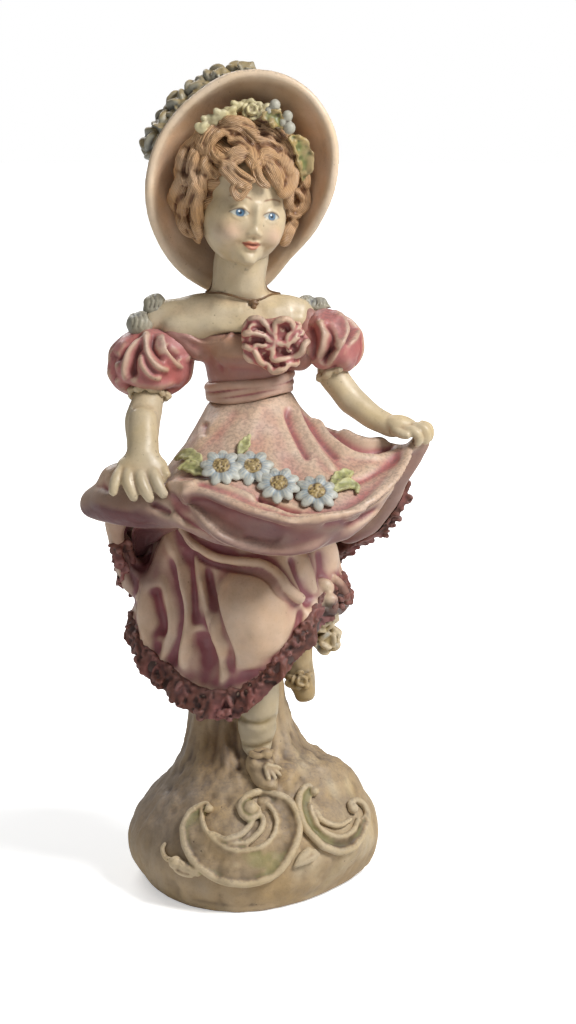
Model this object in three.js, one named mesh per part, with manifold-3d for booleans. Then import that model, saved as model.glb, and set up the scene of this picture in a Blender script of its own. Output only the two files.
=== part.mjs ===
// Resin figurine, about 25 cm tall: a girl in a poke bonnet stands on a scrolled rocky mound
// and holds up her overskirt with both hands, so that the flowers on it lie in a shallow swag.
// Millimetres, +Z up. The viewer stands on the -Y side. The origin is on the surface that she
// stands on. Right and left in names are the girl's own, so her right hand is on the -X side.
import * as THREE from "three";
import { mergeVertices } from "three/addons/utils/BufferGeometryUtils.js";
import Module from "manifold-3d";

const wasm = await Module();
wasm.setup();

// Heights up the figure, each measured from the one below it
const FOOT_Z = 36; // where the front foot stands on the mound
const SKIRT_RISE = 114; // from the foot to the waist
const BODICE_RISE = 18; // from the waist to the neckline
const CHEST_RISE = 10; // from the neckline to the foot of the neck
const HEAD_RISE = 28; // from the foot of the neck to the middle of the head
const WAIST_Z = FOOT_Z + SKIRT_RISE;
const NECKLINE_Z = WAIST_Z + BODICE_RISE;
const NECK_Z = NECKLINE_Z + CHEST_RISE;
const HEAD_Z = NECK_Z + HEAD_RISE;

// Clearance left between neighbouring pieces
const GAP = 0.3;
const SLIVER = 0.02; // faces of a cut narrower than this are merged into their neighbours

// Mound
const MOUND_HALF_WIDTH = 38;
const MOUND_HALF_DEPTH = 37.5;
const STUMP_HALF_WIDTH = 15;
const STUMP_BURIED = 14; // length of the stump hidden inside the petticoat
const MOUND_LOBE = 0.03; // how far the three lobes of the plan swell, as a share of its radius
const MOUND_SHAVE = 0.16; // how much of the reach is lost towards the front on her left
const WIDE = MOUND_HALF_WIDTH / 38; // the mound's lines are drawn for this half width
const TALL = FOOT_Z / 36; // and for this height of the foot

// Scrolls on the mound's face
const SCROLL_RIM = 1.9; // radius of the raised rim of a scroll
const SCROLL_LEAF = 1.7; // radius of the flutes inside it
const SCROLL_PLATE = 2.6; // thickness of the shell between its rims
const SCROLL_TIP = 3; // radius of the ball that a scroll ends in

// Legs and shoes
const CALF_RADIUS = 6;
const ANKLE_RADIUS = 5.1;
const SHOE_RADIUS = 4.3;
const REAR_LEG_RADIUS = 4.6;

// Skirts
const PETTICOAT_HEM_Z = 60; // lowest level of the petticoat's hem at the right side
const PETTICOAT_HALF_WIDTH = 30;
const OVERSKIRT_HEM_Z = 88; // level of the overskirt's hem at the back
const WAIST_HALF_WIDTH = 12.6;
const WAIST_HALF_DEPTH = 10.6;
const WAIST_TILT = 0.14; // rise of the waist towards her left, per mm across
const KNEE_HALF_WIDTH = 13.6;
const KNEE_HALF_HEIGHT = 17;
const LACE_HEIGHT = 7.5;
const LACE_THICKNESS = 2.6;
const LACE_WAVE = 1.1;
const SKIRT_FOLDS = 13; // folds round the overskirt
const SKIRT_FOLD = 1.9; // how far they stand out at the back
const HEM_ROLL_RADIUS = 1.9;
const SWAG_RADIUS = 4.2;

// Bodice, arms and hands
const SASH_RADIUS = 1.5;
const BUST_DEPTH = 14;
const SHOULDER_HALF_WIDTH = 22;
const SLEEVE_HALF_WIDTH = 11.5;
const SLEEVE_FOLD = 0.07; // depth of the sleeve's gathers, as a share of its radius
const ARM_RADIUS = 4.6;
const WRIST_RADIUS = 4.1;
const FINGER_RADIUS = 1.35;
const CUFF_RADIUS = 0.9;
const NECK_RADIUS = 8;
const CHAIN_RADIUS = 0.6;
const SHOULDER_ROSE_RADIUS = 4.1;

// Head, hair and bonnet
const HEAD_TURN = 20; // degrees that the face looks towards her left
const HEAD_TILT = 8; // degrees that the crown leans towards her left
const FACE_HALF_WIDTH = 12.4;
const SKULL_HALF_WIDTH = 13.5;
const HAIR_HALF_WIDTH = 18.3;
const CURL_RADIUS = 3.1;
const BRIM_THICKNESS = 2.4;
const BRIM_DEPTH = 13; // how far the rim stands in front of the brim's inner edge
const CROWN_HALF_WIDTH = 17.5;
const BONNET_ROSE_RADIUS = 4.7;
const BUD_RADIUS = 2.3;

// Flowers on the overskirt
const DAISY_RADIUS = 6.1;
const DAISY_BUTTON = 2.5;
const DAISY_HEIGHT = 2.4;
const PETALS = 9;
const LEAF_THICKNESS = 1.5;

const COLOURS = {
  resin: ["#a8946f", 0.55],
  skin: ["#c9b597", 0.45],
  blush: ["#b98b80", 0.5],
  rose: ["#a8606a", 0.5],
  lace: ["#94635f", 0.65],
  hair: ["#b08a63", 0.5],
  straw: ["#a38b6c", 0.5],
  petal: ["#b3bcb8", 0.5],
  leaf: ["#a3a765", 0.55],
  moss: ["#8b8a70", 0.6],
};

const v = (x, y, z) => new THREE.Vector3(x, y, z);
const lerp = THREE.MathUtils.lerp;
const rad = THREE.MathUtils.degToRad;
// Points whose heights are given from the waist; what follows the height in each stays as it is
const fromWaist = (points) => points.map(([x, y, z, ...sizes]) => [x, y, WAIST_Z + z, ...sizes]);

// Closed geometry: skins, tubes, eggs and plates

function facingOut(geometry) {
  const p = geometry.attributes.position;
  const index = geometry.index.array;
  const [a, b, c] = [v(), v(), v()];
  let volume = 0;
  for (let i = 0; i < index.length; i += 3) {
    a.fromBufferAttribute(p, index[i]);
    b.fromBufferAttribute(p, index[i + 1]);
    c.fromBufferAttribute(p, index[i + 2]);
    volume += a.dot(b.cross(c));
  }
  if (volume < 0) {
    for (let i = 0; i < index.length; i += 3) {
      [index[i + 1], index[i + 2]] = [index[i + 2], index[i + 1]];
    }
  }
  return geometry;
}

function shape(points, index) {
  const geometry = new THREE.BufferGeometry().setFromPoints(points);
  geometry.setIndex(new THREE.BufferAttribute(new Uint32Array(index), 1));
  return facingOut(geometry);
}

// Rows of points that each close round, with a pole at either end
function closedRows(rows, first, last) {
  const n = rows[0].length;
  const points = [first, ...rows.flat(), last];
  const at = (row, k) => 1 + row * n + (k % n);
  const index = [];
  for (let k = 0; k < n; k++) {
    index.push(0, at(0, k + 1), at(0, k));
    for (let row = 0; row + 1 < rows.length; row++) {
      index.push(at(row, k), at(row, k + 1), at(row + 1, k));
      index.push(at(row, k + 1), at(row + 1, k + 1), at(row + 1, k));
    }
    index.push(points.length - 1, at(rows.length - 1, k), at(rows.length - 1, k + 1));
  }
  return shape(points, index);
}

// Closed sections that follow each other round a closed ring
function closedRing(sections) {
  const n = sections[0].length;
  const count = sections.length;
  const at = (i, k) => (i % count) * n + (k % n);
  const index = [];
  for (let i = 0; i < count; i++) {
    for (let k = 0; k < n; k++) {
      index.push(at(i, k), at(i, k + 1), at(i + 1, k));
      index.push(at(i, k + 1), at(i + 1, k + 1), at(i + 1, k));
    }
  }
  return shape(sections.flat(), index);
}

const middle = (points) =>
  points.reduce((sum, p) => sum.add(p), v(0, 0, 0)).divideScalar(points.length);

// A smooth closed skin over rings of control points, from the first ring to the last
function skin(rings, sides, rows, { ripple = () => 0, dish = 0 } = {}) {
  const smooth = rings.map((ring) =>
    new THREE.CatmullRomCurve3(ring, true, "centripetal").getPoints(sides).slice(0, sides),
  );
  const columns = smooth[0].map((_, k) => new THREE.CatmullRomCurve3(smooth.map((ring) => ring[k])));
  const made = [];
  for (let row = 0; row <= rows; row++) {
    const t = row / rows;
    const ring = columns.map((column) => column.getPoint(t));
    const centre = middle(ring);
    ring.forEach((p, k) => {
      const out = v(p.x - centre.x, p.y - centre.y, 0).normalize();
      p.addScaledVector(out, ripple(k / sides, t));
    });
    made.push(ring);
  }
  const last = middle(made[rows]);
  last.z += dish;
  return closedRows(made, middle(made[0]), last);
}

// Twelve control points round an oval whose reach differs left, right, front and back.
// A lobe swells it three ways, and a shave flattens it towards the front on her left.
function oval(z, left, right, front, back, { lobe = 0, tilt = 0, shave = 0 } = {}) {
  const points = [];
  for (let k = 0; k < 12; k++) {
    const angle = (k / 12) * 2 * Math.PI;
    const [c, s] = [Math.cos(angle), Math.sin(angle)];
    const corner = Math.max(0, Math.cos(angle + Math.PI / 4)) ** 3;
    const swell = 1 + lobe * Math.cos(3 * (angle + Math.PI / 2)) - shave * corner;
    const x = (c > 0 ? right : left) * c * swell;
    const y = (s > 0 ? back : front) * s * swell;
    points.push(v(x, y, z + tilt * x));
  }
  return points;
}

// A round tube with domed ends through stations [x, y, z, radius, depth share]
function limb(stations, sides = 6, steps = 1) {
  const line = new THREE.CatmullRomCurve3(stations.map(([x, y, z]) => v(x, y, z)));
  const sizes = new THREE.CatmullRomCurve3(stations.map(([, , , r, share = 1]) => v(r, share, 0)));
  const count = (stations.length - 1) * steps;
  const rows = [];
  const across = v(1, 0, 0.01);
  const poles = [];
  for (let i = 0; i <= count; i++) {
    const t = i / count;
    const along = line.getTangent(t);
    across.addScaledVector(along, -across.dot(along)).normalize();
    const up = along.clone().cross(across);
    const { x: radius, y: share } = sizes.getPoint(t);
    const ring = (size, offset) =>
      Array.from({ length: sides }, (_, k) => {
        const angle = (k / sides) * 2 * Math.PI;
        return line
          .getPoint(t)
          .addScaledVector(along, offset)
          .addScaledVector(across, Math.cos(angle) * size)
          .addScaledVector(up, Math.sin(angle) * size * share);
      });
    const dome = 0.72 * radius;
    if (i === 0) {
      poles.push(line.getPoint(0).addScaledVector(along, -radius));
      rows.push(ring(dome, -dome));
    }
    rows.push(ring(radius, 0));
    if (i === count) {
      rows.push(ring(dome, dome));
      poles.push(line.getPoint(1).addScaledVector(along, radius));
    }
  }
  return closedRows(rows, poles[0], poles[1]);
}

// An egg with its own width, depth and height, turned about its centre
function egg(centre, [rx, ry, rz], { turn = [0, 0, 0], wide = 12, high = 8, wave = 0, waves = 0 } = {}) {
  const rows = [];
  const place = (x, y, z) =>
    v(x * rx, y * ry, z * rz).applyEuler(new THREE.Euler(...turn.map(rad))).add(centre);
  for (let i = 1; i < high; i++) {
    const polar = (i / high) * Math.PI;
    rows.push(
      Array.from({ length: wide }, (_, k) => {
        const angle = (k / wide) * 2 * Math.PI;
        const r = Math.sin(polar) * (1 + wave * Math.cos(waves * angle));
        return place(r * Math.cos(angle), r * Math.sin(angle), Math.cos(polar));
      }),
    );
  }
  return closedRows(rows, place(0, 0, 1), place(0, 0, -1));
}

// A closed plate of even thickness over a surface point(u, across)
function plate(point, nu, nv, thickness) {
  const step = 0.01;
  const side = (u, w, offset) => {
    const [a, b] = [Math.min(u + step, 1), Math.max(u - step, 0)];
    const [c, d] = [Math.min(w + step, 1), Math.max(w - step, 0)];
    const normal = point(a, w).sub(point(b, w)).cross(point(u, c).sub(point(u, d)));
    return point(u, w).addScaledVector(normal.normalize(), offset);
  };
  const rows = [];
  for (let i = 0; i <= nu; i++) {
    const row = [];
    for (let j = 0; j <= nv; j++) row.push(side(i / nu, j / nv, thickness / 2));
    for (let j = nv; j >= 0; j--) row.push(side(i / nu, j / nv, -thickness / 2));
    rows.push(row);
  }
  return closedRows(rows, middle(rows[0]), middle(rows[nu]));
}

// Solids, and how a piece is placed clear of its neighbours

function solidOf(geometry) {
  const merged = mergeVertices(geometry, 1e-4);
  return new wasm.Manifold(
    new wasm.Mesh({
      numProp: 3,
      vertProperties: new Float32Array(merged.attributes.position.array),
      triVerts: new Uint32Array(merged.index.array),
    }),
  );
}

// The same geometry with every vertex pushed out by a distance
function grown(geometry, distance) {
  const copy = geometry.clone();
  copy.computeVertexNormals();
  const { position, normal } = copy.attributes;
  for (let i = 0; i < position.count; i++) {
    position.setXYZ(
      i,
      position.getX(i) + normal.getX(i) * distance,
      position.getY(i) + normal.getY(i) * distance,
      position.getZ(i) + normal.getZ(i) * distance,
    );
  }
  copy.deleteAttribute("normal");
  return copy;
}

// Draws vertices that only touch each other a hair inwards, so that no edge has four faces
function parted(geometry) {
  const { position } = geometry.attributes;
  const seen = new Map();
  for (let i = 0; i < position.count; i++) {
    const at = [position.getX(i), position.getY(i), position.getZ(i)];
    const key = at.map((q) => Math.round(q * 500)).join();
    seen.set(key, [...(seen.get(key) ?? []), i]);
  }
  geometry.computeVertexNormals();
  const { normal } = geometry.attributes;
  for (const i of [...seen.values()].filter((alike) => alike.length > 1).flat()) {
    const inwards = v(0, 0, 0).fromBufferAttribute(normal, i).multiplyScalar(-0.02);
    const p = v(0, 0, 0).fromBufferAttribute(position, i).add(inwards);
    position.setXYZ(i, p.x, p.y, p.z);
  }
  geometry.deleteAttribute("normal");
  return geometry;
}

const joined = (solids) => solids.reduce((a, b) => a.add(b));
const largest = (solid) =>
  solid.decompose().reduce((a, b) => (a.volume() >= b.volume() ? a : b));

const figurine = new THREE.Group();
const placed = [];

function meet(a, b) {
  const [p, q] = [a.boundingBox(), b.boundingBox()];
  return [0, 1, 2].every((k) => p.min[k] < q.max[k] && q.min[k] < p.max[k]);
}

// Adds a named piece. What was placed earlier keeps its shape, and this piece is cut clear of it.
function place(name, colour, ...geometries) {
  let solid = joined(geometries.map(solidOf));
  const keepOut = joined([solid, ...geometries.map((g) => solidOf(grown(g, GAP * 1.15)))]);
  for (const other of placed) if (meet(solid, other)) solid = solid.subtract(other);
  placed.push(keepOut);
  const { numProp, vertProperties, triVerts } = largest(solid).simplify(SLIVER).getMesh();
  const geometry = new THREE.BufferGeometry();
  geometry.setAttribute("position", new THREE.BufferAttribute(vertProperties, numProp));
  geometry.setIndex(new THREE.BufferAttribute(triVerts, 1));
  const [hex, roughness] = COLOURS[colour];
  const material = new THREE.MeshStandardMaterial({ color: hex, roughness, metalness: 0 });
  const mesh = new THREE.Mesh(parted(geometry), material);
  mesh.name = name;
  figurine.add(mesh);
}

function placeAll(colour, pieces) {
  for (const [name, geometries] of Object.entries(pieces)) place(name, colour, ...[geometries].flat());
}

// Mound and scrolls

// Left, right, front and back reach of the mound at each height, as drawn for its full width
function mound() {
  const [w, d] = [MOUND_HALF_WIDTH, MOUND_HALF_DEPTH];
  const stump = STUMP_HALF_WIDTH;
  const top = PETTICOAT_HEM_Z + STUMP_BURIED;
  const rings = [
    oval(0, w - 6, w - 3.5, d + 0.5, d - 4.5, { lobe: MOUND_LOBE, shave: MOUND_SHAVE }),
    oval(3 * TALL, w - 3, w + 0.5, d + 1.5, d - 2, { lobe: MOUND_LOBE, shave: MOUND_SHAVE }),
    oval(9 * TALL, w - 0.4, w + 2, d + 1.8, d - 1, { lobe: MOUND_LOBE, shave: MOUND_SHAVE / 2 }),
    oval(16 * TALL, w - 1, w + 1.6, d, d - 2, { lobe: MOUND_LOBE / 2 }),
    oval(23 * TALL, w - 4.2, w - 1, d - 4, d - 5, { lobe: MOUND_LOBE / 2 }),
    oval(29 * TALL, w - 9.6, w - 5.5, d - 9.5, d - 9),
    oval(34 * TALL, w - 14, w - 10, d - 14, d - 13),
    oval(39 * TALL, stump + 6, stump + 5, stump + 3.5, stump + 6),
    oval(45 * TALL, stump + 4.4, stump - 1, stump - 0.5, stump + 3),
    oval(FOOT_Z + 17, stump + 3.6, stump - 3.5, stump - 3, stump + 1),
    oval(top, stump + 0.5, stump - 7, stump - 6.5, stump - 2.5),
  ];
  return skin(rings, 26, 11);
}

// A point on the mound's front face, given across and up, and how far in front of the face it lies
function onMound(across, up, proud = 0) {
  const [x, z] = [across * WIDE, up * TALL];
  const [w, d, share] = [MOUND_HALF_WIDTH, MOUND_HALF_DEPTH, z / FOOT_Z];
  const reach = share < 0.35 ? d + 2 - 3 * (0.35 - share) : d + 2 - 30 * (share - 0.35) ** 1.5;
  const side = x > 0 ? w + 1 : w;
  return [x, -reach * Math.sqrt(1 - (x / side) ** 2) - proud, z];
}

const line3 = (points) => new THREE.CatmullRomCurve3(points.map(([x, y, z]) => v(x, y, z)));

// A crescent-shaped scroll: a raised outer rim, a lower inner rim, a plate between them,
// flutes inside and a ball at either end. Each line is given as [across, up] points.
function scroll(rim, inner, flutes, spurs) {
  const lay = (points, proud) => points.map(([x, z]) => onMound(x, z, proud));
  const tube = (points, radius, proud) => limb(lay(points, proud).map((p) => [...p, radius]), 4);
  const [a, b] = [line3(lay(rim, 0)), line3(lay(inner, 0))];
  const ball = { wide: 6, high: 5 };
  const between = (u, w) => a.getPoint(0.02 + 0.9 * u).lerp(b.getPoint(0.02 + 0.9 * u), w);
  return [
    plate(between, 12, 1, SCROLL_PLATE),
    tube(rim, SCROLL_RIM, 0.6),
    tube(inner, SCROLL_RIM * 0.8, 0.3),
    ...flutes.map((points) => tube(points, SCROLL_LEAF, 0)),
    ...spurs.map((points) => limb(points.map(([x, z, r]) => [...onMound(x, z, 0.4), r]), 4)),
    ...[rim[0], rim[rim.length - 1]].map(([x, z]) =>
      egg(v(...onMound(x, z, 1)), [SCROLL_TIP, SCROLL_TIP, SCROLL_TIP], ball),
    ),
  ];
}

function largeScroll() {
  const rim = [
    [-13.3, 30.2], [-16.7, 26.9], [-18.6, 22.1], [-18.1, 17.7], [-14.9, 13.4],
    [-9.4, 11.5], [-2.4, 10.8], [4.9, 12.6], [11.3, 16.9], [14, 22.7],
    [13.8, 28.2], [11.7, 31.5], [7.6, 33.5], [2.6, 33.9], [0.2, 30.4],
  ];
  const inner = [
    [-13.3, 27.9], [-12.6, 24.8], [-10.5, 21.6], [-5.5, 19.6],
    [-0.3, 19.4], [4.1, 21.7], [6.9, 25], [7.2, 28],
  ];
  const flutes = [[[-11.4, 23.4], [-5, 21.4], [0.6, 23.3], [3.4, 26.6]]];
  const spurs = [[[-14.5, 13.6, 1.4], [-19.1, 13.9, 2.2], [-21.8, 15.1, 1.8], [-24.6, 17.2, 1]]];
  return scroll(rim, inner, flutes, spurs);
}

function smallScroll() {
  const rim = [
    [17.6, 33.4], [14.9, 32.4], [14.3, 28.7], [16.4, 24.2], [20.4, 19.9],
    [25, 17.5], [29.8, 17.1], [33.5, 19.6], [34.1, 23.4], [31.6, 27.4],
  ];
  const inner = [[17.3, 30.6], [18.5, 26.8], [21.1, 23.6], [25, 21.4], [28.6, 21.7], [30.4, 23.9]];
  const flutes = [[[20.5, 25.9], [23.7, 23.7], [27.6, 24.1]]];
  const spurs = [[[12.8, 15.4, 1], [16, 17.5, 1.8], [19, 17.1, 1.2]]];
  return scroll(rim, inner, flutes, spurs);
}

// Legs and shoes

function frontLeg() {
  const inside = PETTICOAT_HEM_Z + STUMP_BURIED;
  return limb(
    [
      [2.6, -12.5, inside, CALF_RADIUS],
      [2.8, -14, FOOT_Z + 25, CALF_RADIUS],
      [2.6, -14, FOOT_Z + 19, CALF_RADIUS],
      [2.3, -13.6, FOOT_Z + 17, CALF_RADIUS - 0.7],
      [2.1, -13.6, FOOT_Z + 14, CALF_RADIUS],
      [1.9, -13.4, FOOT_Z + 11, ANKLE_RADIUS - 0.3],
      [1.8, -13.6, FOOT_Z + 8, ANKLE_RADIUS],
    ],
    9,
  );
}

function frontShoe() {
  return limb(
    [
      [1.6, -12, FOOT_Z + 6.5, SHOE_RADIUS],
      [2.6, -16, FOOT_Z + 4, SHOE_RADIUS + 0.2],
      [4.2, -20.5, FOOT_Z + 1, SHOE_RADIUS - 0.2],
      [5.8, -24.5, FOOT_Z - 1.5, SHOE_RADIUS - 1.6],
    ],
    8,
  );
}

function rearLeg() {
  const inside = PETTICOAT_HEM_Z + STUMP_BURIED + 6;
  return limb(
    [
      [13.5, 2.5, inside, REAR_LEG_RADIUS],
      [14.6, 1.5, FOOT_Z + 30, REAR_LEG_RADIUS],
      [15.6, 0.5, FOOT_Z + 23, REAR_LEG_RADIUS - 0.4],
      [16.4, -0.5, FOOT_Z + 17.5, REAR_LEG_RADIUS - 1],
    ],
    8,
  );
}

// Two loops and a knot, for a shoe
function shoeBow(x, y, z) {
  return [
    egg(v(x - 1.9, y, z + 0.6), [2, 1.3, 1.2], { turn: [0, 25, 0], wide: 6, high: 4 }),
    egg(v(x + 1.9, y, z + 0.6), [2, 1.3, 1.2], { turn: [0, -25, 0], wide: 6, high: 4 }),
    egg(v(x, y - 0.4, z), [1.1, 1.3, 1.1], { wide: 5, high: 4 }),
  ];
}

// Skirts

// Control points of the petticoat's hem, going round from her left side
function petticoatHem() {
  const w = PETTICOAT_HALF_WIDTH;
  const z = PETTICOAT_HEM_Z;
  return [
    v(w - 3.5, 1, z + 33), v(w - 4, 12, z + 28), v(w - 11, 22, z + 20), v(w - 30, 28, z + 12),
    v(12 - w, 25, z + 10), v(1 - w, 14, z + 15), v(-w - 4, 3, z + 22), v(-w - 3, -3, z + 18),
    v(-w, -8, z + 13), v(7 - w, -13, z + 8), v(14 - w, -16.5, z + 3), v(23 - w, -20, z + 2),
    v(w - 28.5, -23, z + 6), v(w - 22, -24, z + 14), v(w - 14, -20, z + 24), v(w - 8.5, -9, z + 30),
  ];
}

function petticoat() {
  const hem = petticoatHem();
  const top = WAIST_Z - 30;
  const share = (a, b, r) =>
    hem.map((p) => v(p.x * r, p.y * r, lerp(p.z, top, a) + b * (p.z - PETTICOAT_HEM_Z)));
  const rings = [share(1, 0, 0.5), share(0.75, 0, 0.76), share(0.5, 0, 0.9), share(0.25, 0, 0.99), hem];
  return skin(rings, 32, 5, {
    ripple: (k, t) => 1.5 * Math.sin(Math.PI * t) * Math.cos(2 * Math.PI * k * 8 + 1.2),
    dish: 6,
  });
}

function kneeDrape() {
  return egg(v(1.8, -15, PETTICOAT_HEM_Z + 24), [KNEE_HALF_WIDTH, 15, KNEE_HALF_HEIGHT], {
    wide: 12,
    high: 8,
  });
}

// A gathered band of lace that hangs from a line of hem points
function lace(points, count, closed, waves, out) {
  const line = new THREE.CatmullRomCurve3(points, closed, "centripetal");
  const sections = [];
  for (let i = 0; i < count; i++) {
    const t = closed ? i / count : i / (count - 1);
    const p = line.getPointAt(t);
    const along = line.getTangentAt(t);
    const away = v(along.y, -along.x, 0).normalize().multiplyScalar(out);
    const wave = LACE_WAVE * Math.cos(2 * Math.PI * waves * t);
    const at = (reach, drop) => p.clone().addScaledVector(away, reach).add(v(0, 0, -drop));
    const [deep, low] = [LACE_THICKNESS, LACE_HEIGHT];
    sections.push([
      at(0.7, -1.6),
      at(deep * 0.9 + wave * 0.5, -0.6),
      at(deep + 0.4 + wave * 1.6, low - 0.5 * Math.abs(wave)),
      at(wave * 0.8 - 0.2, low - 1),
    ]);
  }
  if (closed) return closedRing(sections);
  return closedRows(sections, middle(sections[0]), middle(sections[count - 1]));
}

// Two cream roses under the lace at her left, hung from the hem's second control point
function hemRoses() {
  const hem = petticoatHem()[1];
  return [
    rosette(hem.clone().add(v(-2, -1, -15.5)), 4.8, [90, 0, 20]),
    rosette(hem.clone().add(v(-2.6, -4, -8.5)), 4.6, [90, 0, 50]),
  ];
}

// Control points of the overskirt's edge: the hem at the back, and held up from hand to hand
function overskirtEdge() {
  const [w, z, top] = [PETTICOAT_HALF_WIDTH, OVERSKIRT_HEM_Z, WAIST_Z];
  return [
    v(w + 17.5, -9, top - 15), v(w + 14, -2, top - 27),
    v(w + 7.5, 5, z + 24), v(w, 13, z + 18), v(w - 11, 24, z + 9), v(2, 30, z + 3),
    v(14 - w, 28, z), v(1 - w, 17, z + 2), v(-w - 5.5, 4, z + 7), v(-w - 7, -9, z + 18),
    v(-w - 1, -23, top - 32), v(-24, -31, top - 26), v(-13, -39, top - 26), v(0, -43.5, top - 29.5),
    v(13, -45, top - 33), v(26, -41.5, top - 31.5), v(w + 7, -32, top - 27), v(w + 14.5, -19, top - 20),
  ];
}

function waistRing(count, z, grow) {
  return overskirtEdge().map((p) => {
    const angle = Math.atan2(p.y * 1.1, p.x);
    const x = (WAIST_HALF_WIDTH + grow) * Math.cos(angle);
    const y = (WAIST_HALF_DEPTH + grow) * Math.sin(angle);
    return v(x, y, z + WAIST_TILT * x);
  });
}

// The overskirt falls from the waist as a bell and spreads to the edge above
function overskirt() {
  const edge = overskirtEdge();
  const top = waistRing(edge.length, WAIST_Z - 2, -0.5);
  const mid = (share, lift) =>
    edge.map((p, k) => {
      const q = top[k].clone().lerp(p, share);
      const flat = Math.hypot(p.x, p.y) / 45;
      const sag = Math.max(0, p.x / 47) ** 6;
      q.z = lerp(top[k].z, p.z, share ** (1.35 - 0.45 * flat - 0.45 * sag)) + lift * (1 - flat);
      return q;
    });
  // Folds run down it, deeper at the back; k goes once round from her left by way of the back
  const depth = (k) => SKIRT_FOLD * (0.45 + 0.55 * Math.sin(Math.PI * Math.min(1, 1.8 * k)));
  return skin([top, mid(0.2, 2), mid(0.45, 4), mid(0.75, 3), edge], 4 * SKIRT_FOLDS, 6, {
    ripple: (k, t) => depth(k) * Math.sin(Math.PI * t ** 1.3) * Math.cos(2 * Math.PI * k * SKIRT_FOLDS),
    dish: 6,
  });
}

// The thick rolled edge of the overskirt, from her right hand to her left
function hemRoll() {
  const r = HEM_ROLL_RADIUS;
  const line = fromWaist([
    [-23, -31.5, -23, r], [-16.5, -36.6, -23.4, r], [-9, -41.4, -25.4, r], [0, -44.6, -28.5, r],
    [12, -46.4, -31.6, r], [20, -45.6, -31.8, r], [28, -42.4, -30.2, r], [35.4, -35.6, -27, r],
    [41.2, -27.6, -23.4, r], [45.6, -18.4, -19, r], [48, -12.6, -15, r],
  ]);
  return limb(line);
}

// Folds that hang in swags under the lifted hem
function swags() {
  const r = SWAG_RADIUS;
  const upper = fromWaist([
    [-24, -30, -29, r - 1], [-18, -34, -33, r], [-9, -36.5, -36.5, r], [3, -37.5, -39.2, r],
    [15, -37, -39.2, r], [27.5, -33.5, -36.4, r], [36, -27, -31, r - 1], [42, -18, -25, r - 2],
  ]);
  const lower = fromWaist([
    [-25, -26, -38, r - 1.4], [-17, -29, -42.5, r - 0.6], [-6, -31, -46, r - 0.4],
    [6, -31.5, -47.4, r - 0.4], [17, -29, -46, r - 0.8], [26, -23, -42, r - 1.6],
  ]);
  const tail = fromWaist([
    [-17, -29, -47, 2], [-6, -32.4, -49, 2.1], [5, -34, -51, 2.2],
    [10.6, -33.4, -55.5, 2.7], [14.4, -30.8, -60, 2],
  ]);
  return { upper_swag: limb(upper), lower_swag: limb(lower), sash_tail: limb(tail) };
}

// Cloth bunched in each hand, and what falls from it
function bundles() {
  const right = fromWaist([
    [-45, -15, -31.5, 6], [-38, -21, -29.5, 8.2], [-30, -26, -30.5, 7.6], [-22, -30, -32.5, 5],
  ]);
  const fall = fromWaist([
    [-38, -8, -38, 5], [-37.5, -4, -45, 5], [-36.6, 0, -52, 4.8], [-34.6, 2, -58.5, 4],
  ]);
  const left = fromWaist([
    [51.4, -10, -12.6, 2.6], [48, -8, -18.5, 3.2], [44.5, -4, -26, 3.2],
    [40.6, 1, -34, 3.8], [36, 5, -40.6, 4.2], [29.6, 8, -44.6, 4],
  ]);
  const gathered = egg(v(-37, -19, WAIST_Z - 24), [8, 7, 6], { wide: 8, high: 6 });
  return {
    right_bundle: [limb(right, 8), gathered],
    right_side_fall: [limb(fall, 7)],
    left_bundle: [limb(left, 7)],
  };
}

// Flowers and leaves

// A daisy on a surface: position, and the direction that it faces
function daisy(position, facing) {
  const side = v(1, 0, 0).addScaledVector(facing, -facing.x).normalize();
  const up = facing.clone().cross(side);
  const disc = (radius, height, lobes) =>
    Array.from({ length: PETALS * 2 }, (_, k) => {
      const angle = (k / (PETALS * 2)) * 2 * Math.PI;
      const r = radius * (1 + lobes * Math.cos(PETALS * angle));
      return position
        .clone()
        .addScaledVector(facing, height)
        .addScaledVector(side, r * Math.cos(angle))
        .addScaledVector(up, r * Math.sin(angle));
    });
  const rows = [
    disc(DAISY_RADIUS * 0.7, DAISY_HEIGHT, 0),
    disc(DAISY_RADIUS, DAISY_HEIGHT * 0.5, 0.12),
    disc(DAISY_RADIUS * 0.8, -1, 0.05),
  ];
  return closedRows(
    rows,
    position.clone().addScaledVector(facing, DAISY_HEIGHT * 0.9),
    position.clone().addScaledVector(facing, -1),
  );
}

function daisyButton(position, facing) {
  const centre = position.clone().addScaledVector(facing, DAISY_HEIGHT);
  return egg(centre, [DAISY_BUTTON, DAISY_BUTTON, 1.5], { turn: [50, 0, 0], wide: 7, high: 5 });
}

// A pointed leaf from its stalk to its tip, with a raised middle
function leaf(from, to, width) {
  const along = to.clone().sub(from);
  const across = v(along.z, 0, -along.x).normalize();
  return plate(
    (u, w) => {
      const half = width * Math.sin(Math.PI * (0.06 + 0.88 * u)) ** 0.7;
      return from
        .clone()
        .addScaledVector(along, u)
        .addScaledVector(across, half * (2 * w - 1))
        .add(v(0, 0.8 * (2 * w - 1) ** 2, 0));
    },
    5,
    2,
    LEAF_THICKNESS,
  );
}

// A small cabbage rose: overlapping rounds of petals drawn as one lobed ball
const rosette = (centre, r, turn = [90, 0, 0], waves = 5) =>
  egg(centre, [r, r, r * 0.8], { turn, wide: 10, high: 5, wave: 0.08, waves });

// The four daisies that lie in the lifted skirt, all facing the viewer and upwards
function daisies() {
  const facing = v(0.05, -0.72, 0.7).normalize();
  const centres = fromWaist([
    [-8.4, -28.4, -19],
    [2.4, -30.4, -19.4],
    [9.6, -36.4, -24.4],
    [21.2, -33.6, -24.6],
  ]);
  return Object.fromEntries(
    centres.map((at, k) => [`daisy_${k + 1}`, [daisy(v(...at), facing), daisyButton(v(...at), facing)]]),
  );
}

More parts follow.
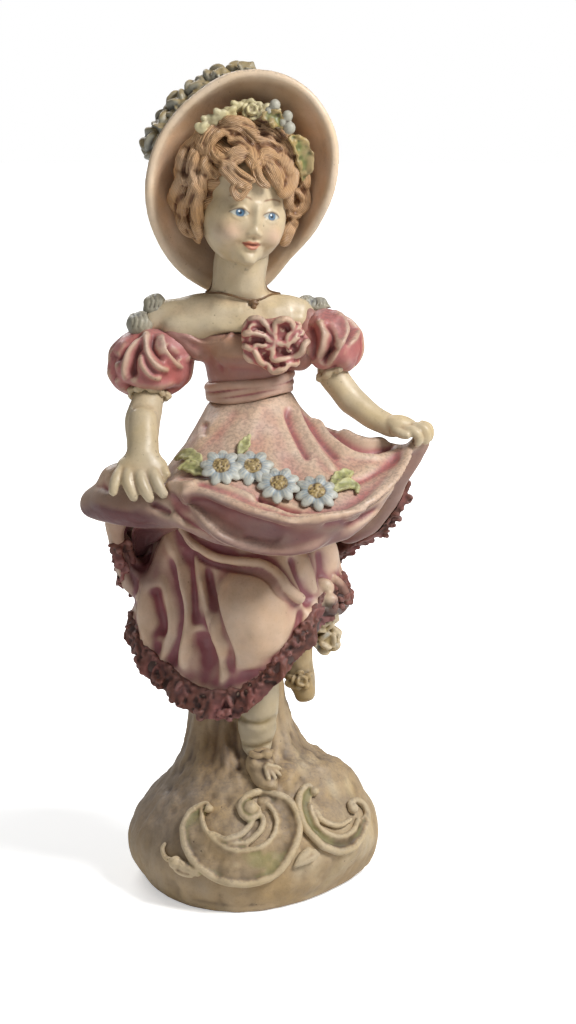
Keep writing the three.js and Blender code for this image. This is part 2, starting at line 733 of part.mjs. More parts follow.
function apronLeaves() {
  const z = WAIST_Z;
  return {
    apron_leaf_right: leaf(v(-14, -28.6, z - 18.8), v(-19.4, -22.6, z - 15.2), 3),
    apron_leaf_top: leaf(v(-2.4, -27.4, z - 16), v(-0.6, -22.4, z - 10.4), 1.7),
    apron_leaf_left: leaf(v(25, -34, z - 22.4), v(30.6, -29.6, z - 20.6), 3.2),
  };
}

function shoulderRoses() {
  const r = SHOULDER_ROSE_RADIUS;
  const z = NECKLINE_Z;
  return {
    right_shoulder_roses: [rosette(v(-27.4, 0.5, z + 7.2), r), rosette(v(-31, -1, z + 2.6), r)],
    left_shoulder_roses: [rosette(v(18, 1.6, z + 7.4), r * 0.8), rosette(v(22, 1, z + 6.4), r * 0.8)],
  };
}

// Bodice and shoulders

function bodice() {
  const z = WAIST_Z;
  const w = WAIST_HALF_WIDTH;
  const d = WAIST_HALF_DEPTH;
  const rings = [
    oval(z + 2, w - 0.2, w - 0.2, d, d, { tilt: WAIST_TILT }),
    oval(z + 7, w + 0.4, w + 0.2, lerp(d, BUST_DEPTH, 0.5), d, { tilt: 0.1 }),
    oval(z + 12, w + 2, w + 1, BUST_DEPTH, d, { tilt: 0.04 }),
    oval(NECKLINE_Z - 3, w + 3.6, w + 2.4, BUST_DEPTH - 0.4, d + 0.2, { tilt: 0.02 }),
    oval(NECKLINE_Z, w + 4.2, w + 3.2, BUST_DEPTH - 2.4, d, { tilt: 0.02 }),
  ];
  return skin(rings, 16, 4);
}

function shoulders() {
  const w = SHOULDER_HALF_WIDTH;
  const r = NECK_RADIUS;
  const z = NECKLINE_Z;
  const rings = [
    oval(z + 0.4, w + 1.5, w - 5, BUST_DEPTH - 2.6, 9.8),
    oval(z + 3, w + 6, w - 1, BUST_DEPTH - 3.6, 9.8),
    oval(NECK_Z - 4, w + 4, w - 2.5, r + 0.4, r + 0.8),
    oval(NECK_Z - 1.6, w - 4, w - 8.5, r - 1, r - 0.4),
    oval(NECK_Z + 0.6, r + 3.5, r, r - 2, r - 1.5),
  ];
  return skin(rings, 16, 4);
}

// Collar points that both the neck and the necklace follow
const neckCentre = v(-3.4, -0.6, NECK_Z);

function neck() {
  const r = NECK_RADIUS;
  const rings = [
    oval(NECK_Z + 1, r + 3.2, r - 2.8, r, r - 0.6),
    oval(NECK_Z + 5, r + 2.9, r - 3.4, r, r),
    oval(NECK_Z + 10, r + 2.6, r - 2.6, r + 1, r + 1),
    oval(NECK_Z + 16, r + 1.4, r - 2, r + 1, r + 1),
  ];
  return skin(rings, 14, 3);
}

function necklace() {
  const sections = [];
  const count = 18;
  for (let i = 0; i < count; i++) {
    const angle = (i / count) * 2 * Math.PI;
    const away = v(Math.cos(angle), Math.sin(angle), 0);
    const sag = 2.6 * Math.max(0, -Math.sin(angle)) ** 2;
    const centre = neckCentre.clone().addScaledVector(away, NECK_RADIUS + 0.9).add(v(0.5, 0, 1.6 - sag));
    sections.push(
      Array.from({ length: 4 }, (_, k) => {
        const turn = (k / 4) * 2 * Math.PI;
        return centre
          .clone()
          .addScaledVector(away, CHAIN_RADIUS * Math.cos(turn))
          .add(v(0, 0, CHAIN_RADIUS * Math.sin(turn)));
      }),
    );
  }
  return closedRing(sections);
}

const pendant = () => egg(v(-2.6, -10, NECK_Z - 2), [1.1, 1, 1.8], { wide: 6, high: 5 });

// A belt of two rolls round the waist, tilted with it
function sash() {
  const sections = [];
  const count = 22;
  const r = SASH_RADIUS;
  const profile = [[-0.2, -1.9], [0.9, -1], [0.3, 0], [0.8, 1], [-0.2, 1.9], [-0.7, 0]];
  for (let i = 0; i < count; i++) {
    const angle = (i / count) * 2 * Math.PI;
    const [c, s] = [Math.cos(angle), Math.sin(angle)];
    sections.push(
      profile.map(([out, up]) => {
        const x = (WAIST_HALF_WIDTH + 0.2 + out * r) * c;
        return v(x, (WAIST_HALF_DEPTH + 0.2 + out * r) * s, WAIST_Z + 1.7 + up * r + WAIST_TILT * x);
      }),
    );
  }
  return closedRing(sections);
}

// The fan of ruffles pinned to the middle of the bodice
function bustRuffle() {
  const centre = v(7.2, -14, NECKLINE_Z - 3);
  const rows = [2.8, 5.4, 8].map((radius, ring) =>
    Array.from({ length: 20 }, (_, k) => {
      const angle = (k / 20) * 2 * Math.PI;
      const wave = ring * 0.75 * Math.cos(5 * angle);
      const r = radius * (1 + 0.12 * Math.cos(5 * angle + 1));
      const [x, z] = [r * 1.12 * Math.cos(angle), r * Math.sin(angle)];
      return v(centre.x + x, centre.y - 1.6 - wave, centre.z + z);
    }),
  );
  const rim = rows[2].map((p) => v(p.x * 0.98 + centre.x * 0.02, centre.y + 5, p.z));
  return closedRows([...rows, rim], centre.clone().add(v(0, -1.6, 0)), centre.clone().add(v(0, 5, 0)));
}

// Sleeves, arms and hands

const rightSleeve = v(-29.8, -4, NECKLINE_Z - 9.8);
const leftSleeve = v(24, -2.5, NECKLINE_Z - 3.5);

function sleeves() {
  const r = SLEEVE_HALF_WIDTH;
  const puff = { wide: 15, high: 7, wave: SLEEVE_FOLD, waves: 5 };
  return {
    right_sleeve: egg(rightSleeve, [r + 0.2, r - 0.5, r - 1], { ...puff, turn: [8, 6, 0] }),
    left_sleeve: egg(leftSleeve, [r - 3.6, r - 1, r - 1.5], { ...puff, turn: [4, -30, 0] }),
  };
}

function arms() {
  const [r, w] = [ARM_RADIUS, WRIST_RADIUS];
  const [a, b] = [rightSleeve, leftSleeve];
  const right = [
    [a.x + 0.6, a.y - 1, a.z - 3, r],
    [a.x + 0.2, a.y - 4, a.z - 9, r],
    [a.x - 1.4, -14, WAIST_Z - 7.5, r + 0.8],
    [-30.8, -21, WAIST_Z - 15, w + 0.4],
    [-30.4, -24, WAIST_Z - 18, w],
  ];
  const left = [
    [b.x + 0.4, b.y, b.z - 2, r],
    [b.x + 0.4, b.y - 1, b.z - 9.5, r],
    [30, -5, WAIST_Z - 2.4, r - 0.2],
    [36.6, -8, WAIST_Z - 7.2, w - 0.4],
    [42.6, -10, WAIST_Z - 10, w - 0.8],
  ];
  return { right_arm: limb(right, 8), left_arm: limb(left, 8) };
}

function cuffs() {
  const around = (centre, axis, radius) => {
    const sections = [];
    const tip = new THREE.Quaternion().setFromUnitVectors(v(0, 0, 1), axis.clone().normalize());
    for (let i = 0; i < 14; i++) {
      const angle = (i / 14) * 2 * Math.PI;
      sections.push(
        Array.from({ length: 4 }, (_, k) => {
          const turn = (k / 4) * 2 * Math.PI;
          const r = radius + CUFF_RADIUS * Math.cos(turn) + 0.3 * Math.cos(5 * angle);
          return v(r * Math.cos(angle), r * Math.sin(angle), CUFF_RADIUS * 1.3 * Math.sin(turn))
            .applyQuaternion(tip)
            .add(centre);
        }),
      );
    }
    return closedRing(sections);
  };
  const [a, b] = [rightSleeve, leftSleeve];
  return {
    right_cuff: around(v(a.x + 0.1, a.y - 3.8, a.z - 8.6), v(0.1, 0.5, 1), ARM_RADIUS + 0.9),
    left_cuff: around(v(b.x + 1.2, b.y - 1.2, b.z - 8.6), v(-0.45, 0.2, 1), ARM_RADIUS + 0.7),
  };
}

function finger(points) {
  return limb(fromWaist(points), 5);
}

function rightHand() {
  const r = FINGER_RADIUS;
  return [
    egg(v(-30.6, -27, WAIST_Z - 19.8), [6, 4.4, 4.6], { turn: [-35, 0, 0], wide: 10, high: 7 }),
    finger([[-34.6, -28, -19.6, r], [-38.2, -29.4, -22.4, r], [-39.6, -29.4, -26.6, r * 0.8]]),
    finger([[-33, -29.6, -19.4, r], [-34.6, -32.4, -22.6, r], [-33.4, -32.8, -27.2, r * 0.8]]),
    finger([[-30.6, -30, -19.2, r], [-31, -33.2, -22.8, r], [-29.6, -33.4, -28, r * 0.8]]),
    finger([[-28, -29.6, -19.2, r], [-26.8, -33.2, -22.4, r], [-24.6, -33.6, -26.6, r * 0.8]]),
    finger([[-26.8, -26.6, -18.4, r * 1.1], [-24, -29, -19.4, r * 1.2], [-23.4, -31, -21.6, r]]),
  ];
}

function leftHand() {
  const r = FINGER_RADIUS;
  return [
    egg(v(45.4, -11, WAIST_Z - 9.6), [4.6, 3.4, 2.9], { turn: [0, 14, 0], wide: 10, high: 7 }),
    finger([[42.6, -13.4, -9.6, r], [46.4, -15, -11, r * 1.1], [49.6, -14.6, -12.6, r * 0.9]]),
    finger([[46.6, -12.4, -9, r], [50.4, -13.6, -9.6, r * 1.1], [51.8, -13.6, -12.6, r * 0.9]]),
    finger([[48, -10.4, -9.2, r], [52, -11, -9.8, r * 1.1], [54, -11.4, -12.4, r * 0.9]]),
  ];
}

// Head and hair

const headCentre = v(-1.7, -2.5, HEAD_Z);
const headTurn = new THREE.Euler(0, rad(HEAD_TILT), rad(HEAD_TURN), "ZYX");
// A point given from the middle of the head: towards her left, back and up
const onHead = (x, y, z) => v(x, y, z).applyEuler(headTurn).add(headCentre);
const headEgg = (x, y, z, radii, detail) =>
  egg(onHead(x, y, z), radii, { turn: [0, HEAD_TILT, HEAD_TURN], ...detail });

function head() {
  const f = FACE_HALF_WIDTH;
  return [
    headEgg(0, 4, 3.5, [SKULL_HALF_WIDTH, 13.5, 15], { wide: 10, high: 6 }),
    headEgg(0, -2.5, -5, [f, 11.6, 13.4], { wide: 12, high: 8 }),
    headEgg(0, -13.6, -6, [1.5, 1.6, 2], { wide: 6, high: 5 }),
    headEgg(0, -7.6, -14, [5.4, 4.8, 4.6], { wide: 8, high: 6 }),
  ];
}

function hair() {
  const w = HAIR_HALF_WIDTH;
  const waves = { wide: 14, high: 7 };
  return headEgg(0, 4.5, 6.4, [w, 17, 20], waves);
}

function curls() {
  const lock = (...stations) =>
    limb(stations.map(([x, y, z, size]) => [...onHead(x, y, z).toArray(), CURL_RADIUS * size]), 5);
  return {
    forehead_curls: [
      lock([-2, -12, 21, 0.8], [-8.4, -14.2, 18, 1.2], [-10, -15, 12, 1.2], [-5.6, -16.6, 9.4, 1]),
      lock([-10, -15, 12, 0.9], [-5.6, -16.6, 9.4, 1], [-3.4, -16.4, 13, 0.8]),
      lock([-3, -15, 15, 0.9], [-5, -16.4, 8.6, 1.1], [-1, -16.8, 4.4, 0.7]),
      lock([1, -12.4, 21, 0.8], [5, -14, 18.6, 1.2], [6.4, -15.4, 12, 1.2], [4.4, -16.6, 7.4, 0.8]),
      lock([6, -12, 18, 0.9], [10.4, -12.6, 13, 1.2], [9.6, -13.6, 6.4, 0.9]),
    ],
    side_curls_right: [
      lock([-13, -8, 15, 0.9], [-16.6, -7.4, 8, 1.2], [-14.4, -8.6, 2, 1]),
      lock([-15.6, -6, 5, 0.9], [-17, -6, -2, 1.2], [-14, -8, -7, 1]),
      lock([-16, -3.4, -3, 0.9], [-16.4, -4, -10, 1.2], [-12.6, -5.4, -14, 0.8]),
    ],
    side_curls_left: [
      lock([13, -7, 15, 0.9], [16.4, -5.4, 8, 1.2], [14.4, -7.6, 2, 1]),
      lock([15.4, -4, 5, 0.9], [17, -3.6, -2, 1.2], [14.2, -6.4, -7, 1]),
      lock([15, -2, -4, 0.9], [15.6, -1.6, -10, 1.1], [12.4, -4, -14.6, 0.7]),
    ],
  };
}

// Bonnet

const brimCentre = v(-1.7, 0, HEAD_Z + 6);
// Reach of the rim from the brim's centre every 30 degrees, from her left side upwards
const BRIM_REACH = [26.2, 29.4, 31.6, 30.6, 27.4, 26.5, 27.3, 29.4, 32.8, 34, 26.4, 24.7];

function brimReach(degrees) {
  const turn = ((degrees / 30) % 12) + 12;
  const [i, f] = [Math.floor(turn), turn % 1];
  const [a, b, c, d] = [-1, 0, 1, 2].map((k) => BRIM_REACH[(i + k) % 12]);
  return b + 0.5 * f * (c - a + f * (2 * a - 5 * b + 4 * c - d + f * (3 * (b - c) + d - a)));
}

// A point on the brim's front face: s is 0 at the inner edge and 1 at the rim
function brimPoint(degrees, s, behind = 0) {
  const angle = rad(degrees);
  const [c, u] = [Math.cos(angle), Math.sin(angle)];
  const low = Math.max(0, -u) ** 2;
  const w = HAIR_HALF_WIDTH - 2.7;
  const inner = v(-2.6 + w * c, 7, HEAD_Z + 4 + (u > 0 ? w + 0.4 : w + 6.4) * u);
  const reach = brimReach(degrees);
  const outer = brimCentre.clone().add(v(reach * c, 7 - BRIM_DEPTH * (1 - 1.15 * low), reach * u));
  const p = inner.clone().lerp(outer, s);
  p.y = lerp(inner.y, outer.y, s ** 1.25) + behind;
  return p;
}

function brim() {
  const sections = [];
  const count = 28;
  const t = BRIM_THICKNESS;
  for (let i = 0; i < count; i++) {
    const degrees = (i / count) * 360;
    const back = [0.97, 0.5, 0].map((s) => brimPoint(degrees, s, t));
    const rim = brimPoint(degrees, 1.03, t * 0.5);
    const front = [0, 0.5, 0.97].map((s) => brimPoint(degrees, s));
    sections.push([...front, rim, ...back]);
  }
  return closedRing(sections);
}

function crown() {
  const w = CROWN_HALF_WIDTH;
  return egg(v(-4.5, 13, HEAD_Z + 5), [w, 15, w + 2.5], { turn: [0, 0, 12], wide: 12, high: 7 });
}

// Roses along the back of the brim, from her right ear over the top
function bonnetRoses() {
  const roses = [158, 145, 130, 115, 101, 88].map((degrees, k) => {
    const p = brimPoint(degrees, 1.04, BRIM_THICKNESS + 3.4);
    const r = BONNET_ROSE_RADIUS * (1 + 0.08 * (k % 2));
    return [`bonnet_rose_${k + 1}`, rosette(p, r, [90, 0, k * 40])];
  });
  return Object.fromEntries(roses);
}

// A wreath of small leaves along the top of the hair, with three buds at its left end
function garland() {
  const line = [
    [-9, -11.4, 20, 1.5],
    [-3, -11.6, 23.4, 1.9],
    [3, -11.4, 23.6, 2.2],
    [8.4, -10, 21.2, 2.1],
  ];
  return limb(line.map(([x, y, z, r]) => [...onHead(x, y, z).toArray(), r]));
}

function buds() {
  const size = [BUD_RADIUS, BUD_RADIUS, BUD_RADIUS * 1.2];
  const centres = [[9.4, -9.4, 25.4], [12, -8.4, 22], [13, -8, 18.6]];
  return centres.map((at) => egg(onHead(...at), size, { wide: 6, high: 5 }));
}

// The pieces are placed from the inside outwards
place("base_mound", "resin", mound());
place("large_scroll", "resin", ...largeScroll());
place("small_scroll", "resin", ...smallScroll());

place("front_leg", "skin", frontLeg());
place("front_shoe", "resin", frontShoe(), ...shoeBow(3.6, -22, FOOT_Z + 4.6));
place("rear_leg", "skin", rearLeg(), ...shoeBow(13.4, -3.4, FOOT_Z + 22));

place("petticoat", "rose", petticoat(), kneeDrape());
place("petticoat_lace", "lace", lace(petticoatHem(), 48, true, 16, 1));
place("hem_roses", "petal", ...hemRoses());

place("right_hand", "skin", ...rightHand());
place("left_hand", "skin", ...leftHand());
place("overskirt", "blush", overskirt());
place("hem_roll", "blush", hemRoll());
placeAll("rose", bundles());
placeAll("rose", swags());
place("overskirt_lace", "lace", lace(overskirtEdge().slice(1, 10), 31, false, 10, 1));
placeAll("petal", daisies());
placeAll("leaf", apronLeaves());

place("sash", "rose", sash());
place("bodice", "blush", bodice());
place("shoulders", "skin", shoulders());
place("neck", "skin", neck());
place("head", "skin", ...head());
place("necklace", "moss", necklace(), pendant());
place("bust_ruffle", "rose", bustRuffle());
placeAll("skin", arms());
placeAll("skin", cuffs());
placeAll("rose", sleeves());
placeAll("moss", shoulderRoses());

place("hair", "hair", hair());
placeAll("hair", curls());
place("bonnet_brim", "straw", brim());
place("bonnet_crown", "straw", crown());
placeAll("moss", bonnetRoses());
place("hair_garland", "leaf", garland());
place("bonnet_leaf", "leaf", leaf(onHead(13.4, -6.6, 18), onHead(17.6, -5.4, 9), 3.2));
place("bonnet_buds", "petal", ...buds());

// The origin is the middle of the whole figurine's footprint
const footprint = new THREE.Box3().setFromObject(figurine).getCenter(v(0, 0, 0));
figurine.position.set(-footprint.x, -footprint.y, 0);

export default figurine;
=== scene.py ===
"""Looks of the hand-painted resin figurine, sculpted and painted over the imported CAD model.

The forms are worked out in millimetres in the CAD source's drawing coordinates (+Z up, the
viewer on the -Y side) and moved into the frame at the end. Right and left are the girl's own.
"""

import math

import bmesh
import bpy
import numpy as np
from mathutils import Euler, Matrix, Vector
from mathutils.bvhtree import BVHTree


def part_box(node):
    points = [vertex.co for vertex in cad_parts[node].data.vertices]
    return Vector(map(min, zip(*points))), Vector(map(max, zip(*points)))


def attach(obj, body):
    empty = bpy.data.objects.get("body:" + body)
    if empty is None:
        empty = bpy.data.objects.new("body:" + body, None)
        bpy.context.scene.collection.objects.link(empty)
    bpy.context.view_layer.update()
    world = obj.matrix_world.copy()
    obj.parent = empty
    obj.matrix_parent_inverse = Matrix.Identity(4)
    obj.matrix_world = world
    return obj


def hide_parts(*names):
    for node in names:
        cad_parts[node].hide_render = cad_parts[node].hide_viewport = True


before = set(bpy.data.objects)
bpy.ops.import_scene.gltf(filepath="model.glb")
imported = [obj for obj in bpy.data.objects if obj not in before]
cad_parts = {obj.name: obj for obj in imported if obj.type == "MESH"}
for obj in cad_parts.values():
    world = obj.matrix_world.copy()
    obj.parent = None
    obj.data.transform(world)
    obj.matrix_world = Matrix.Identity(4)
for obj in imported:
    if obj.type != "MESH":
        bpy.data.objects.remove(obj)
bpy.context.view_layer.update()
MM = 1000

# The drawing's origin, found from the middle of the mound in the drawing and in the frame
MOUND_MIDDLE = np.array((1.129, -1.980))
low, high = (np.array(corner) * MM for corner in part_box("base_mound"))
SHIFT = np.array((*((low + high)[:2] / 2 - MOUND_MIDDLE), 0.0))

# The photograph's camera, level with her waist and looking a little down
LOOK_DOWN = math.radians(10)
DISTANCE = 750.0
PIXEL = 0.3
TARGET = np.array((11.4, 0.0, 113.1))
AHEAD = np.array((0.0, math.cos(LOOK_DOWN), -math.sin(LOOK_DOWN)))
UPWARDS = np.array((0.0, math.sin(LOOK_DOWN), math.cos(LOOK_DOWN)))
EYE = TARGET - AHEAD * DISTANCE
FOCAL = DISTANCE / PIXEL
WIDTH, HEIGHT = 576, 1024


def pixels(points):
    """Where points appear in the photograph."""
    away = points - EYE
    depth = away @ AHEAD
    across = WIDTH / 2 + FOCAL * away[:, 0] / depth
    return np.stack([across, HEIGHT / 2 - FOCAL * (away @ UPWARDS) / depth], 1)


def sight(pixel):
    """The direction from the camera through a pixel of the photograph."""
    px, py = pixel
    ray = AHEAD + UPWARDS * (HEIGHT / 2 - py) / FOCAL
    ray = ray + np.array(((px - WIDTH / 2) / FOCAL, 0, 0))
    return ray / np.linalg.norm(ray)


def at_depth(pixel, y):
    """The point that shows at a pixel and lies at depth y."""
    ray = sight(pixel)
    return EYE + ray * (y - EYE[1]) / ray[1]


def unit(vectors):
    return vectors / np.maximum(np.linalg.norm(vectors, axis=-1, keepdims=True), 1e-12)


def ramp(value, low, high):
    """Rises smoothly from 0 at low to 1 at high."""
    t = np.clip((value - low) / (high - low), 0, 1)
    return t * t * (3 - 2 * t)


def mottle(points, size, seed):
    """Smooth noise from -1 to 1, with blotches of a size in millimetres."""
    at = points / size + seed * 7.31
    cell = np.floor(at).astype(np.int64)
    f = at - cell
    f = f * f * (3 - 2 * f)

    def corner(i, j, k):
        n = (cell[:, 0] + i) * 73856093 ^ (cell[:, 1] + j) * 19349663
        n = (n ^ (cell[:, 2] + k) * 83492791 ^ seed * 2654435) & 0x7FFFFFFF
        n = (n ^ (n >> 13)) * 1274126177 & 0x7FFFFFFF
        return (n >> 8 & 0xFFFF) / 32767.5 - 1

    total = 0
    for i in (0, 1):
        for j in (0, 1):
            for k in (0, 1):
                share = (f[:, 0] if i else 1 - f[:, 0]) * (f[:, 1] if j else 1 - f[:, 1])
                total = total + corner(i, j, k) * share * (f[:, 2] if k else 1 - f[:, 2])
    return total


def spline(rows, step, closed=False):
    """A smooth line through rows, about step apart. Further columns follow along."""
    rows = np.asarray(rows, float)
    if closed:
        padded = np.vstack([rows[-1:], rows, rows[:2]])
    else:
        padded = np.vstack([2 * rows[0] - rows[1], rows, 2 * rows[-1] - rows[-2]])
    made = []
    for a, b, c, d in zip(padded, padded[1:], padded[2:], padded[3:]):
        count = max(1, math.ceil(np.linalg.norm((c - b)[:3]) / step))
        t = np.arange(count)[:, None] / count
        bend = (2 * a - 5 * b + 4 * c - d) * t**2 + (3 * (b - c) + d - a) * t**3
        made.append(b + 0.5 * ((c - a) * t + bend))
    if not closed:
        made.append(rows[-1:])
    return np.vstack(made)


# Closed forms, as vertices and faces


def tube(rows, sides=8, step=1.0, flat=1.0, thin=None, closed=False):
    """A cord through rows of x, y, z and radius, flattened along the direction thin."""
    line = spline(rows, step, closed)
    place, radius = line[:, :3], np.maximum(line[:, 3], 0.05)
    along = unit(np.gradient(place, axis=0))
    if closed:
        along = unit(np.roll(place, -1, 0) - np.roll(place, 1, 0))
    if thin is not None:
        thin = np.asarray(thin, float)
        second = unit(thin - along * (along @ thin)[:, None])
        first = np.cross(second, along)
    else:
        side = np.array((1.0, 0.02, 0.03)) if abs(along[0, 0]) < 0.9 else np.array((0.0, 0.02, 1.0))
        first = np.zeros_like(place)
        for i, direction in enumerate(along):
            side = unit(side - direction * (side @ direction))
            first[i] = side
        second = np.cross(along, first)
    angle = np.arange(sides) * 2 * math.pi / sides
    cos, sin = np.cos(angle)[None, :, None], np.sin(angle)[None, :, None]
    ring = cos * first[:, None] + flat * sin * second[:, None]
    points = (place[:, None] + radius[:, None, None] * ring).reshape(-1, 3)
    n = len(place)
    faces = []
    for i in range(n if closed else n - 1):
        for k in range(sides):
            m, j = (k + 1) % sides, (i + 1) % n
            faces.append((i * sides + k, i * sides + m, j * sides + m, j * sides + k))
    if not closed:
        ends = [place[0] - along[0] * radius[0] * 0.7, place[-1] + along[-1] * radius[-1] * 0.7]
        points = np.vstack([points, ends])
        for k in range(sides):
            m = (k + 1) % sides
            faces.append((n * sides, m, k))
            faces.append((n * sides + 1, (n - 1) * sides + k, (n - 1) * sides + m))
    return points, faces


def ball_template(fineness):
    made = bmesh.new()
    bmesh.ops.create_icosphere(made, subdivisions=fineness, radius=1)
    points = np.array([p.co for p in made.verts])
    faces = [tuple(p.index for p in face.verts) for face in made.faces]
    made.free()
    return points, faces


BALL = ball_template(4)


def turned(points, degrees):
    """Points turned about X, then Y, then Z."""
    return points @ np.array(Euler([math.radians(a) for a in degrees]).to_matrix()).T


def egg(centre, radii, turn=(0, 0, 0)):
    points, faces = BALL
    return turned(points * np.asarray(radii, float), turn) + np.asarray(centre, float), faces


def sheet(point, nu, nv, thickness, closed_u=False):
    """A closed plate over the surface point(u, w), both from 0 to 1."""
    us = np.arange(nu) / (nu if closed_u else nu - 1)
    ws = np.arange(nv) / (nv - 1)
    grid = np.array([[point(u, w) for w in ws] for u in us], float)
    du = np.gradient(grid, axis=0)
    if closed_u:
        du = np.roll(grid, -1, 0) - np.roll(grid, 1, 0)
    normal = unit(np.cross(du, np.gradient(grid, axis=1)))
    both = np.concatenate([grid + normal * thickness / 2, (grid - normal * thickness / 2)[:, ::-1]], 1)
    m = 2 * nv
    faces = []
    for i in range(nu if closed_u else nu - 1):
        j = (i + 1) % nu
        for k in range(m):
            faces.append((i * m + k, i * m + (k + 1) % m, j * m + (k + 1) % m, j * m + k))
    if not closed_u:
        for i, turn in ((0, 1), (nu - 1, -1)):
            for k in range(nv - 1):
                a, b = i * m + k, i * m + m - 1 - k
                faces.append((a, b, b - 1, a + 1)[::turn])
    return both.reshape(-1, 3), faces


def node(name, grow=0.0):
    """A CAD node's own mesh, in drawing coordinates, swollen by a distance."""
    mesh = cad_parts[name].data
    points = np.zeros(len(mesh.vertices) * 3)
    mesh.vertices.foreach_get("co", points)
    points = points.reshape(-1, 3) * MM - SHIFT
    kept, where = np.unique(np.round(points, 3), axis=0, return_inverse=True)
    where = where.reshape(-1)
    faces = [tuple(where[i] for i in face.vertices) for face in mesh.polygons]
    faces = [face for face in faces if len(set(face)) == len(face)]
    if grow:
        kept = kept + normals(kept, np.array(faces)) * grow
    return kept, faces


def normals(points, faces):
    corners = points[faces]
    if faces.shape[1] == 4:
        cross = np.cross(corners[:, 2] - corners[:, 0], corners[:, 3] - corners[:, 1])
    else:
        cross = np.cross(corners[:, 1] - corners[:, 0], corners[:, 2] - corners[:, 0])
    total = np.zeros_like(points)
    for k in range(faces.shape[1]):
        for axis in range(3):
            total[:, axis] += np.bincount(faces[:, k], cross[:, axis], len(points))
    return unit(total)


def remeshed(forms, voxel):
    """One surface round closed forms that overlap, in even square faces."""
    points, faces, count = [], [], 0
    for verts, polys in forms:
        points.append(verts)
        faces += [tuple(i + count for i in face) for face in polys]
        count += len(verts)
    mesh = bpy.data.meshes.new("clay")
    mesh.from_pydata(np.vstack(points).tolist(), [], faces)
    made = bpy.data.objects.new("clay", mesh)
    bpy.context.scene.collection.objects.link(made)
    fuse = made.modifiers.new("fuse", "REMESH")
    fuse.mode = "VOXEL"
    fuse.voxel_size = voxel
    bpy.context.view_layer.update()
    result = made.evaluated_get(bpy.context.evaluated_depsgraph_get()).to_mesh()
    verts = np.zeros(len(result.vertices) * 3)
    result.vertices.foreach_get("co", verts)
    corners = np.zeros(len(result.loops), np.int32)
    result.loops.foreach_get("vertex_index", corners)
    bpy.data.objects.remove(made)
    bpy.data.meshes.remove(mesh)
    return verts.reshape(-1, 3), corners.reshape(-1, 4).astype(np.int64)


def main_body(points, faces):
    """Only the largest connected part of a mesh."""
    label = np.arange(len(points))
    while True:
        least = label[faces].min(1)
        fresh = label.copy()
        for k in range(4):
            np.minimum.at(fresh, faces[:, k], least)
        fresh = fresh[fresh]
        if (fresh == label).all():
            break
        label = fresh
    keep = label == np.bincount(label).argmax()
    return points[keep], (np.cumsum(keep) - 1)[faces[keep[faces[:, 0]]]]


